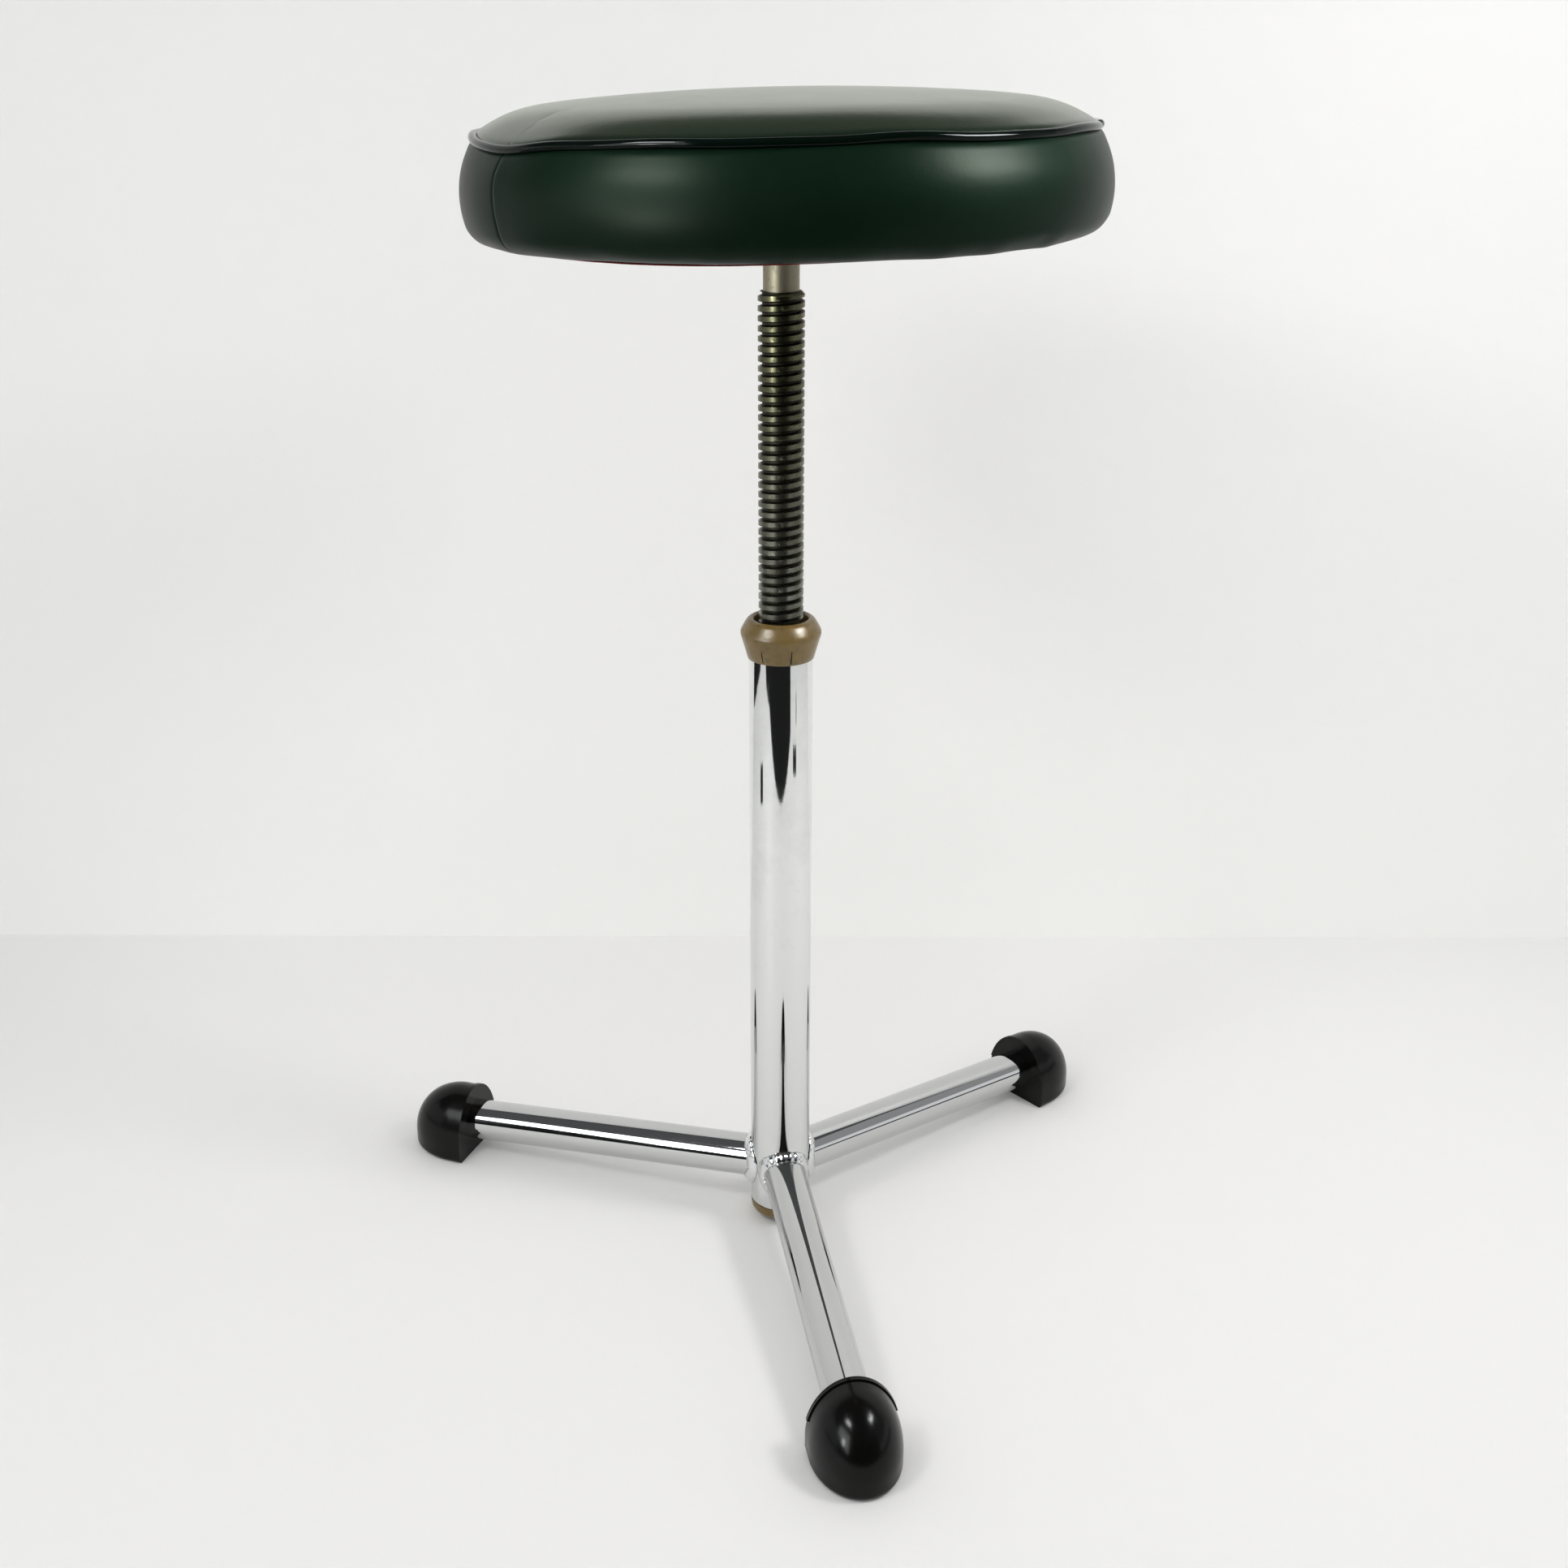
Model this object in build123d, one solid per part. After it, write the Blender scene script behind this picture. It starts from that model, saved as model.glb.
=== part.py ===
from build123d import *
import os
from math import ceil, cos, floor, hypot, radians, sin, sqrt, tan

# Three-legged screw stool with a round upholstered seat, in millimetres, +Z up.
# The origin is on the floor under the column's axis, and the front leg points along -Y.
# Sizes are chained from the floor up: feet, legs, column, nut, spindle, seat.

# Clearances
FIT_GAP = 0.1
RUNNING_GAP = 0.3
SOFT_GAP = 0.3

# Legs and feet
LEG_SIDES = ["front", "right", "left"]
FIRST_LEG_ANGLE = -90.0
LEG_DIA = 25.0
LEG_WALL = 2.0
LEG_SLOPE = 4.6
LEG_INSERT = 26.0
FOOT_REAR_RADIUS = 208.0
FOOT_AXIS_HEIGHT = 20.3
FOOT_SIDE_WALL = 11.5
FOOT_TOP_WALL = 9.6
FOOT_BASE = 10.0
FOOT_STRAIGHT = 9.0
FOOT_NOSE = 32.5
FOOT_SOLE_ROUND = 4.0
FOOT_SOLE_TRIM = 0.2  # thin slice taken off under the sole, so that it stands flat
FOOT_LIP = 0.8
FOOT_LIP_LENGTH = 2.5
FOOT_WASHER_THICKNESS = 1.5
FOOT_WASHER_HOLE = 10.0

# Screw and its nut
SCREW_DIA = 24.0
SCREW_ROOT_DIA = 19.6
SCREW_PITCH = 5.0
SCREW_CREST = 2.5
SCREW_ROOT_FLAT = 1.0
SCREW_END_CHAMFER = 1.5
SPARE_TURNS = 2
EXPOSED_THREAD = 170.5
NECK_DIA = 18.5
NECK_LENGTH = 26.0
SPIGOT_DIA = 15.0
NUT_WALL = 3.1
NUT_LENGTH = 32.0
NUT_FLANGE = 2.0
LIFT_UP = 25.0

# Column
COLUMN_WALL = 2.0
COLUMN_LENGTH = 355.0
COLUMN_TAIL = 26.0
COLUMN_END_ROUND = 1.2
LEG_WELD = 4.0

# Nylon collar and plug
COLLAR_BULGE = 4.5
COLLAR_LIP = 0.5
COLLAR_SKIRT = 12.2
COLLAR_EQUATOR = 1.7
COLLAR_TOP = 10.0
COLLAR_SHOULDER = 8.6
COLLAR_SHOULDER_STEP = 0.6
COLLAR_BORE_GAP = 2.6
COLLAR_ROUND = 3.0
COLLAR_RIM_ROUND = 1.0
PLUG_HEAD = 7.5
PLUG_ROUND = 5.0
PLUG_BARREL = 14.0
PLUG_WALL = 2.5

# Guide at the spindle's lower end
TAIL_DIA = 14.0
BUSH_LENGTH = 12.0
STOP_WASHER_DIA = 28.0
STOP_WASHER_THICKNESS = 2.0
STOP_BOLT_DIA = 8.0
STOP_BOLT_DEPTH = 20.0
STOP_BOLT_HEAD = 5.3
STOP_BOLT_FLATS = 13.0

# Seat plate and its fixings
PLATE_DIA = 130.0
PLATE_THICKNESS = 4.5
SPINDLE_WELD = 4.0
PLATE_SCREWS = 6
PLATE_SCREW_INSET = 13.0
PLATE_SCREW_DIA = 4.8
PLATE_SCREW_LENGTH = 13.0
PLATE_SCREW_TIP = 4.0
PLATE_SCREW_HEAD_DIA = 9.6
PLATE_SCREW_HEAD = 3.2

# Seat board and lining
BOARD_DIA = 290.0
BOARD_THICKNESS = 12.0
BOARD_ROUND = 1.5
LINING_THICKNESS = 1.2
LINING_OVERHANG = 1.0
LINING_PLATE_GAP = 1.0
LINING_STEP = 3.0

# Seat cover and padding
VINYL = 1.2
HEM_WIDTH = 23.0
SIDE_PADDING = 15.0
SIDE_HEIGHT = 46.6
SIDE_EQUATOR = 19.0
SIDE_BULGE = 48.0
SIDE_LOWER_ROUND = 10.0
PIPING_DIA = 4.4
PANEL_EDGE_ANGLE = 120.0
CROWN_HEIGHT = 19.0
CROWN_RADIUS = 1300.0
CROWN_EDGE = 31.0
FOAM_EDGE = 6.5

# Staples
STAPLES = 32
STAPLE_INSET = 11.0
STAPLE_WIDTH = 11.0
STAPLE_LEG = 9.0
STAPLE_WIRE = 1.0

# Sizes and heights that follow from the driving dimensions
LEG_RADIUS = LEG_DIA / 2
SCREW_RADIUS = SCREW_DIA / 2
NECK_RADIUS = NECK_DIA / 2
TAIL_RADIUS = TAIL_DIA / 2
NUT_RADIUS = SCREW_RADIUS + RUNNING_GAP + NUT_WALL
COLUMN_BORE_RADIUS = NUT_RADIUS + FIT_GAP
COLUMN_RADIUS = COLUMN_BORE_RADIUS + COLUMN_WALL
FOOT_RADIUS = LEG_RADIUS + FOOT_SIDE_WALL
FOOT_ARCH = FOOT_AXIS_HEIGHT + LEG_RADIUS + FOOT_TOP_WALL - FOOT_BASE
LEG_ROOT_Z = FOOT_AXIS_HEIGHT + FOOT_REAR_RADIUS * tan(radians(LEG_SLOPE))
LEG_END = FOOT_REAR_RADIUS / cos(radians(LEG_SLOPE)) + LEG_INSERT
COLUMN_BOTTOM_Z = LEG_ROOT_Z - COLUMN_TAIL
COLUMN_TOP_Z = COLUMN_BOTTOM_Z + COLUMN_LENGTH
NUT_TOP_Z = COLUMN_TOP_Z + NUT_FLANGE
NUT_BOTTOM_Z = NUT_TOP_Z - NUT_LENGTH
COLLAR_TOP_Z = NUT_TOP_Z + COLLAR_TOP
THREAD_TOP_Z = COLLAR_TOP_Z + EXPOSED_THREAD
BUSH_TOP_Z = NUT_BOTTOM_Z - LIFT_UP - RUNNING_GAP
BUSH_BOTTOM_Z = BUSH_TOP_Z - BUSH_LENGTH
THREAD_BOTTOM_Z = BUSH_TOP_Z + RUNNING_GAP
TAIL_BOTTOM_Z = BUSH_BOTTOM_Z - RUNNING_GAP
STOP_WASHER_Z = TAIL_BOTTOM_Z - STOP_WASHER_THICKNESS
PLATE_Z = THREAD_TOP_Z + NECK_LENGTH
BOARD_Z = PLATE_Z + PLATE_THICKNESS
BOARD_TOP_Z = BOARD_Z + BOARD_THICKNESS
BOARD_RADIUS = BOARD_DIA / 2
PLATE_RADIUS = PLATE_DIA / 2
HEM_Z = BOARD_Z - VINYL
STAPLE_CIRCLE = BOARD_RADIUS - STAPLE_INSET
PIPING_RADIUS = PIPING_DIA / 2

# The side band bulges on one arc, and a smaller arc inside it turns under the board.
BULGE_R = BOARD_RADIUS + SIDE_PADDING - SIDE_BULGE
BULGE_Z = BOARD_Z + SIDE_EQUATOR
LOWER_Z = HEM_Z + SIDE_LOWER_ROUND
LOWER_R = BULGE_R + sqrt((SIDE_BULGE - SIDE_LOWER_ROUND) ** 2 - (LOWER_Z - BULGE_Z) ** 2)

# The piping lies in the top seam, where the bulge arc reaches the seam's height.
SEAM_Z = BOARD_Z + SIDE_HEIGHT
SEAM_R = BULGE_R + sqrt(SIDE_BULGE ** 2 - (SEAM_Z - BULGE_Z) ** 2) - VINYL / 2
PIPING_REACH = PIPING_RADIUS + SOFT_GAP
BAND_TOP_Z = SEAM_Z - PIPING_REACH

# The top panel is a shallow crown that rolls over on a smaller arc towards the piping.
CROWN_Z = SEAM_Z + CROWN_HEIGHT
PANEL_EDGE_R = SEAM_R + (PIPING_REACH + SOFT_GAP) * cos(radians(PANEL_EDGE_ANGLE))
PANEL_EDGE_Z = SEAM_Z + (PIPING_REACH + SOFT_GAP) * sin(radians(PANEL_EDGE_ANGLE))
ROLL_R = PANEL_EDGE_R - CROWN_EDGE
ROLL_Z = CROWN_Z - CROWN_RADIUS + sqrt(CROWN_RADIUS ** 2 - ROLL_R ** 2)


def line(start, end):
    """Straight edge between two (radius, height) points."""
    return Edge.make_line((start[0], 0, start[1]), (end[0], 0, end[1]))


def arc(start, middle, end):
    """Arc through three (radius, height) points."""
    points = [(radius, 0, height) for radius, height in (start, middle, end)]
    return Edge.make_three_point_arc(*points)


def outline(points):
    """Closed polygon of straight edges."""
    return [line(a, b) for a, b in zip(points, points[1:] + points[:1])]


def turned(edges):
    """Solid of revolution about the column's axis."""
    return revolve(Face(Wire(edges)), Axis.Z)


def disc(radius, low, high):
    """Plain round solid on the column's axis."""
    return Pos(0, 0, low) * Cylinder(radius, high - low, align=(Align.CENTER, Align.CENTER, Align.MIN))


def ring(inner, outer, low, high):
    """Round solid with a bore, on the column's axis."""
    return disc(outer, low, high) - disc(inner, low, high)


def around(shape, count, start=0.0):
    """Copies of a shape, evenly spaced round the column's axis."""
    return [Rot(0, 0, start + 360.0 * index / count) * shape for index in range(count)]


def thread_profile(clearance):
    """(radius, height) corners of the screw's tooth over one pitch, grown by a clearance."""
    depth = (SCREW_DIA - SCREW_ROOT_DIA) / 2
    flank = (SCREW_PITCH - SCREW_CREST - SCREW_ROOT_FLAT) / 2
    slope = flank / depth
    grown = clearance * (hypot(1, slope) - slope)
    crest_half = SCREW_CREST / 2 + grown
    base_half = crest_half + flank
    root = SCREW_ROOT_DIA / 2 + clearance
    crest = SCREW_RADIUS + clearance
    middle = SCREW_PITCH / 2
    return [
        (root, middle + base_half - SCREW_PITCH),
        (root, middle - base_half),
        (crest, middle - crest_half),
        (crest, middle + crest_half),
        (root, middle + base_half),
    ]


def helix(radius, height):
    """One right-hand turn of the screw's helix."""
    return Edge.make_helix(SCREW_PITCH, SCREW_PITCH, radius, center=(0, 0, height))


def wound_thread(clearance, low, high):
    """Closed solid of the thread form, wound right-handed past both given heights."""
    profile = thread_profile(clearance)
    first = floor(low / SCREW_PITCH) - SPARE_TURNS
    last = ceil(high / SCREW_PITCH) + SPARE_TURNS
    faces = []
    for turn in range(first, last):
        base = turn * SCREW_PITCH
        for (r_low, h_low), (r_high, h_high) in zip(profile, profile[1:]):
            lower = helix(r_low, base + h_low)
            upper = helix(r_high, base + h_high)
            faces.append(Face.make_surface_from_curves(lower, upper))
    for turn in (first, last):
        base = turn * SCREW_PITCH
        corners = [Vector(radius, 0, base + height) for radius, height in profile]
        foot = Vector(0, 0, corners[0].Z)
        head = Vector(0, 0, corners[-1].Z)
        faces.append(Face(Wire.make_polygon([foot, *corners, head], close=True)))
        ramp = helix(profile[0][0], corners[0].Z)
        faces.append(Face.make_surface_from_curves(Edge.make_line(foot, head), ramp))
    return Solid(Shell(faces))


def column_tube():
    """Column tube, rounded at its lower end."""
    tube = ring(COLUMN_BORE_RADIUS, COLUMN_RADIUS, COLUMN_BOTTOM_Z, COLUMN_TOP_Z)
    lower = tube.edges().filter_by(GeomType.CIRCLE).group_by(Axis.Z)[0]
    return fillet(lower.sort_by(SortBy.RADIUS)[-1], COLUMN_END_ROUND)


def leg_frame():
    """Plane at the leg's root on the column axis, with its normal along a leg that points to +X."""
    direction = Vector(cos(radians(LEG_SLOPE)), 0, -sin(radians(LEG_SLOPE)))
    return Plane(origin=(0, 0, LEG_ROOT_Z), x_dir=(0, 1, 0), z_dir=direction)


def leg_rod(radius, start, end):
    """Round rod on the leg's axis, between two distances from the column axis."""
    rod = Cylinder(radius, end - start, align=(Align.CENTER, Align.CENTER, Align.MIN))
    return leg_frame() * (Pos(0, 0, start) * rod)


def leg():
    """Leg tube, coped to the column at one end and open in its foot at the other."""
    tube = leg_rod(LEG_RADIUS, 0, LEG_END) - leg_rod(LEG_RADIUS - LEG_WALL, 0, LEG_END)
    return tube - disc(COLUMN_RADIUS + FIT_GAP, COLUMN_BOTTOM_Z, COLUMN_TOP_Z)


def leg_weld():
    """Fillet weld all round the joint between leg and column."""
    column = disc(COLUMN_RADIUS, COLUMN_BOTTOM_Z, LEG_ROOT_Z + COLUMN_TAIL + LEG_DIA)
    rod = leg_rod(LEG_RADIUS, 0, COLUMN_RADIUS + LEG_DIA)
    joined = column + rod
    plain = (GeomType.LINE, GeomType.CIRCLE)
    seam = [edge for edge in joined.edges() if edge.geom_type not in plain]
    return chamfer(seam, LEG_WELD) - column - rod


def foot_form():
    """Foot with a radius of 1 all round its nose: walls and an arched back, then a toe under a dome."""
    upward = (Align.CENTER, Align.CENTER, Align.MIN)
    forward = (Align.MIN, Align.CENTER, Align.MIN)
    base = (FOOT_BASE + FOOT_SOLE_TRIM) / FOOT_ARCH
    straight = FOOT_STRAIGHT / FOOT_NOSE
    rear = Pos(-straight, 0, 0)
    walls = rear * Box(straight, 2, base, align=forward)
    back = rear * (Pos(0, 0, base) * Rot(0, 90, 0) * Cylinder(1, straight, align=upward))
    toe = Cylinder(1, base, align=upward)
    dome = Pos(0, 0, base) * Sphere(1)
    form = (walls + back + toe + dome) & (rear * Box(straight + 1, 2, base + 1, align=forward))
    sole = form.faces().sort_by(Axis.Z)[0]
    return fillet(sole.edges().sort_by(Axis.X)[1:], FOOT_SOLE_ROUND / FOOT_ARCH)


def foot():
    """Rubber hoof: flat sole, arched back, a nose that slopes down to it and a socket for the leg."""
    nose = Pos(FOOT_REAR_RADIUS + FOOT_STRAIGHT, 0, 0)
    form = Pos(0, 0, -FOOT_SOLE_TRIM) * scale(foot_form(), by=(FOOT_NOSE, FOOT_RADIUS, FOOT_ARCH))
    upward = (Align.CENTER, Align.CENTER, Align.MIN)
    above_floor = Box(4 * FOOT_NOSE, 4 * FOOT_RADIUS, 4 * FOOT_ARCH, align=upward)
    body = nose * (form & above_floor)
    arch = Rot(0, 90, 0) * extrude(Ellipse(FOOT_ARCH + FOOT_LIP, FOOT_RADIUS + FOOT_LIP), FOOT_LIP_LENGTH)
    upper = Box(FOOT_NOSE, 4 * FOOT_RADIUS, FOOT_ARCH, align=(Align.MIN, Align.CENTER, Align.MIN))
    lip = Pos(0, 0, FOOT_BASE) * arch & Pos(0, 0, FOOT_AXIS_HEIGHT) * upper
    socket = leg_rod(LEG_RADIUS + FIT_GAP, 0, LEG_END + FOOT_WASHER_THICKNESS)
    return body + Pos(FOOT_REAR_RADIUS, 0, 0) * lip - socket


def foot_washer():
    """Steel washer between the leg's end and the bottom of the foot's socket."""
    end = LEG_END + FOOT_WASHER_THICKNESS
    return leg_rod(LEG_RADIUS, LEG_END, end) - leg_rod(FOOT_WASHER_HOLE / 2, LEG_END, end)


def column_collar():
    """Nylon collar: a thin skirt over the column, a soft equator and a bored lip above the nut."""
    skirt_r = COLUMN_RADIUS + FIT_GAP
    outer_r = COLUMN_RADIUS + COLLAR_LIP
    bore_r = SCREW_RADIUS + COLLAR_BORE_GAP
    bottom_z = NUT_TOP_Z - COLLAR_SKIRT
    points = [
        (skirt_r, bottom_z),
        (outer_r, bottom_z),
        (COLUMN_RADIUS + COLLAR_BULGE, NUT_TOP_Z + COLLAR_EQUATOR),
        (COLUMN_RADIUS + COLLAR_SHOULDER_STEP, NUT_TOP_Z + COLLAR_SHOULDER),
        (bore_r + COLLAR_RIM_ROUND, COLLAR_TOP_Z),
        (bore_r, COLLAR_TOP_Z - COLLAR_RIM_ROUND),
        (bore_r, NUT_TOP_Z),
        (skirt_r, NUT_TOP_Z),
    ]
    solid = turned(outline(points))
    equator = solid.edges().filter_by(GeomType.CIRCLE).sort_by(SortBy.RADIUS)[-1]
    return fillet(equator, COLLAR_ROUND)


def screw_nut():
    """Flanged nut with the internal thread, held in the column's top."""
    body = disc(NUT_RADIUS, NUT_BOTTOM_Z, COLUMN_TOP_Z) + disc(COLUMN_RADIUS, COLUMN_TOP_Z, NUT_TOP_Z)
    return body - wound_thread(RUNNING_GAP, NUT_BOTTOM_Z, NUT_TOP_Z)


def bottom_plug():
    """Push-in nylon plug with a rounded head flush with the column."""
    barrel_r = COLUMN_BORE_RADIUS - FIT_GAP
    head = disc(COLUMN_RADIUS, COLUMN_BOTTOM_Z - PLUG_HEAD, COLUMN_BOTTOM_Z)
    head = fillet(head.edges().sort_by(Axis.Z)[0], PLUG_ROUND)
    barrel = ring(barrel_r - PLUG_WALL, barrel_r, COLUMN_BOTTOM_Z, COLUMN_BOTTOM_Z + PLUG_BARREL)
    return head + barrel


def guide_bush():
    """Nylon bush that rides on the spindle's tail and slides in the column."""
    return ring(TAIL_RADIUS + RUNNING_GAP, COLUMN_BORE_RADIUS - RUNNING_GAP, BUSH_BOTTOM_Z, BUSH_TOP_Z)


def spindle():
    """Screw with a plain neck and spigot above, and a drilled tail for the bush below."""
    blank = disc(SCREW_RADIUS + RUNNING_GAP, THREAD_BOTTOM_Z, THREAD_TOP_Z)
    ends = blank.edges().filter_by(GeomType.CIRCLE)
    blank = chamfer(ends, SCREW_END_CHAMFER + RUNNING_GAP)
    threaded = wound_thread(0, THREAD_BOTTOM_Z, THREAD_TOP_Z) & blank
    neck = disc(NECK_RADIUS, THREAD_TOP_Z - SCREW_PITCH, PLATE_Z)
    spigot = disc(SPIGOT_DIA / 2, THREAD_TOP_Z, BOARD_Z)
    tail = disc(TAIL_RADIUS, TAIL_BOTTOM_Z, THREAD_BOTTOM_Z + SCREW_PITCH)
    hole = disc(STOP_BOLT_DIA / 2 + FIT_GAP, TAIL_BOTTOM_Z, TAIL_BOTTOM_Z + STOP_BOLT_DEPTH)
    return threaded + neck + spigot + tail - hole


def stop_washer():
    """Washer that carries the guide bush."""
    return ring(STOP_BOLT_DIA / 2 + FIT_GAP, STOP_WASHER_DIA / 2, STOP_WASHER_Z, TAIL_BOTTOM_Z)


def stop_bolt():
    """Hexagon-head bolt in the spindle's tail."""
    hexagon = RegularPolygon(STOP_BOLT_FLATS / 2, 6, major_radius=False)
    head = Pos(0, 0, STOP_WASHER_Z - STOP_BOLT_HEAD) * extrude(hexagon, STOP_BOLT_HEAD)
    shank_top = TAIL_BOTTOM_Z + STOP_BOLT_DEPTH - FIT_GAP
    return head + disc(STOP_BOLT_DIA / 2, STOP_WASHER_Z, shank_top)


def plate_screw_hole(clearance, low, high):
    """Hole or shank of one plate screw, on the +X side."""
    return Pos(PLATE_RADIUS - PLATE_SCREW_INSET, 0, 0) * disc(PLATE_SCREW_DIA / 2 + clearance, low, high)


def seat_plate():
    """Round steel plate, bored for the spindle's spigot and drilled for its screws."""
    plate = ring(SPIGOT_DIA / 2 + FIT_GAP, PLATE_RADIUS, PLATE_Z, BOARD_Z)
    for hole in around(plate_screw_hole(FIT_GAP, PLATE_Z, BOARD_Z), PLATE_SCREWS):
        plate = plate - hole
    return plate


def spindle_weld():
    """Fillet weld between the neck and the plate's underside."""
    corner = (NECK_RADIUS, PLATE_Z)
    across = (NECK_RADIUS + SPINDLE_WELD, PLATE_Z)
    below = (NECK_RADIUS, PLATE_Z - SPINDLE_WELD)
    return turned(outline([corner, across, below]))


def plate_screws():
    """Dome-headed wood screws up through the plate into the board."""
    tip_z = PLATE_Z + PLATE_SCREW_LENGTH
    shank = disc(PLATE_SCREW_DIA / 2, PLATE_Z, tip_z)
    shank = chamfer(shank.edges().sort_by(Axis.Z)[-1], PLATE_SCREW_TIP, PLATE_SCREW_DIA / 2 - FIT_GAP)
    head_r = PLATE_SCREW_HEAD_DIA / 2
    cap_r = (head_r ** 2 + PLATE_SCREW_HEAD ** 2) / (2 * PLATE_SCREW_HEAD)
    ball = Pos(0, 0, PLATE_Z - PLATE_SCREW_HEAD + cap_r) * Sphere(cap_r)
    head = ball & disc(head_r, PLATE_Z - PLATE_SCREW_HEAD, PLATE_Z)
    screw = Pos(PLATE_RADIUS - PLATE_SCREW_INSET, 0, 0) * (head + shank)
    return Compound(around(screw, PLATE_SCREWS))


def staple(clearance):
    """One staple on the +X side, with its crown under the lining and its legs in the board."""
    wire = STAPLE_WIRE + 2 * clearance
    crown_z = HEM_Z - LINING_THICKNESS
    low = (Align.CENTER, Align.CENTER, Align.MIN)
    crown = Box(wire, STAPLE_WIDTH + 2 * clearance, STAPLE_WIRE, align=low)
    shape = Pos(STAPLE_CIRCLE, 0, crown_z - STAPLE_WIRE) * crown
    for side in (-1, 1):
        offset = side * (STAPLE_WIDTH - STAPLE_WIRE) / 2
        leg_box = Box(wire, wire, STAPLE_LEG + clearance, align=low)
        shape = shape + Pos(STAPLE_CIRCLE, offset, crown_z) * leg_box
    return shape


def staples():
    return Compound(around(staple(0), STAPLES))


def stapled(shape):
    """Shape with a slot for every staple leg."""
    return shape - around(staple(FIT_GAP), STAPLES)


def seat_board():
    """Plywood disc with pilot holes for the plate screws."""
    board = disc(BOARD_RADIUS, BOARD_Z, BOARD_TOP_Z)
    board = fillet(board.edges().filter_by(GeomType.CIRCLE), BOARD_ROUND)
    pilot_top = PLATE_Z + PLATE_SCREW_LENGTH + FIT_GAP
    for hole in around(plate_screw_hole(FIT_GAP, BOARD_Z, pilot_top), PLATE_SCREWS):
        board = board - hole
    return stapled(board)


def under_lining():
    """Lining that lies on the board round the plate and steps down over the hem."""
    hem_r = BOARD_RADIUS - HEM_WIDTH
    hole_r = PLATE_RADIUS + LINING_PLATE_GAP
    rim_r = BOARD_RADIUS + LINING_OVERHANG
    upper = [(hole_r, BOARD_Z), (hem_r - LINING_STEP, BOARD_Z), (hem_r, HEM_Z), (rim_r, HEM_Z)]
    lower = [(radius, height - LINING_THICKNESS) for radius, height in reversed(upper)]
    return stapled(turned(outline(upper + lower)))


def on_bulge(inset, height):
    """Radius of the side band's bulge at a height, inside its outer face by an inset."""
    return BULGE_R + sqrt((SIDE_BULGE - inset) ** 2 - (height - BULGE_Z) ** 2)


def side_curve(inset, top_z):
    """Bulge and lower turn of the side band at an inset, from a top height down to the hem's plane."""
    reach = SIDE_BULGE - SIDE_LOWER_ROUND
    side = ((LOWER_R - BULGE_R) / reach, (LOWER_Z - BULGE_Z) / reach)
    turn = SIDE_LOWER_ROUND - inset
    meet = (LOWER_R + turn * side[0], LOWER_Z + turn * side[1])
    middle_z = (top_z + meet[1]) / 2
    bulge = arc((on_bulge(inset, top_z), top_z), (on_bulge(inset, middle_z), middle_z), meet)
    half = (side[0], side[1] - 1)
    half_length = hypot(*half)
    middle = (LOWER_R + turn * half[0] / half_length, LOWER_Z + turn * half[1] / half_length)
    return [bulge, arc(meet, middle, (LOWER_R, LOWER_Z - turn))]


def crown_curve(inset, end):
    """Crown and rolled edge of the top panel at an inset, from the axis to a radius or to its rim."""
    crown = CROWN_RADIUS - inset
    crown_centre = CROWN_Z - CROWN_RADIUS
    normal = (-ROLL_R / CROWN_RADIUS, -(ROLL_Z - crown_centre) / CROWN_RADIUS)
    chord = (PANEL_EDGE_R - ROLL_R, PANEL_EDGE_Z - ROLL_Z)
    roll = (chord[0] ** 2 + chord[1] ** 2) / (2 * (chord[0] * normal[0] + chord[1] * normal[1]))
    centre = (ROLL_R + roll * normal[0], ROLL_Z + roll * normal[1])
    inner = roll - inset
    start_r = centre[0] - inner * normal[0]
    rim_r = centre[0] + inner * (PANEL_EDGE_R - centre[0]) / roll
    end_r = min(rim_r, end) if end else rim_r

    def on_crown(radius):
        return (radius, crown_centre + sqrt(crown ** 2 - radius ** 2))

    def on_roll(radius):
        return (radius, centre[1] + sqrt(inner ** 2 - (radius - centre[0]) ** 2))

    crown_arc = arc(on_crown(0), on_crown(start_r / 2), on_crown(start_r))
    roll_arc = arc(on_crown(start_r), on_roll((start_r + end_r) / 2), on_roll(end_r))
    return [crown_arc, roll_arc]


def edge_end(edge):
    """(radius, height) of an edge's end."""
    point = edge.position_at(1)
    return (point.X, point.Z)


def edge_start(edge):
    """(radius, height) of an edge's start."""
    point = edge.position_at(0)
    return (point.X, point.Z)


def seat_side_band():
    """Bulging vinyl band whose hem is turned under the board."""
    outer = side_curve(0, BAND_TOP_Z)
    inner = side_curve(VINYL, BAND_TOP_Z)
    hem_r = BOARD_RADIUS - HEM_WIDTH
    hem_edges = [
        line(edge_end(outer[-1]), (hem_r, HEM_Z)),
        line((hem_r, HEM_Z), (hem_r, BOARD_Z)),
        line((hem_r, BOARD_Z), edge_end(inner[-1])),
    ]
    top = line(edge_start(outer[0]), edge_start(inner[0]))
    return stapled(turned([*outer, *hem_edges, *inner, top]))


def seat_top_panel():
    """Domed vinyl panel that rolls over towards the piping."""
    outer = crown_curve(0, None)
    inner = crown_curve(VINYL, None)
    axis = line(edge_start(outer[0]), edge_start(inner[0]))
    rim = line(edge_end(outer[-1]), edge_end(inner[-1]))
    return turned([*outer, *inner, axis, rim])


def seat_piping():
    """Round piping sewn into the top seam."""
    return Pos(0, 0, SEAM_Z) * Torus(SEAM_R, PIPING_RADIUS)


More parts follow.
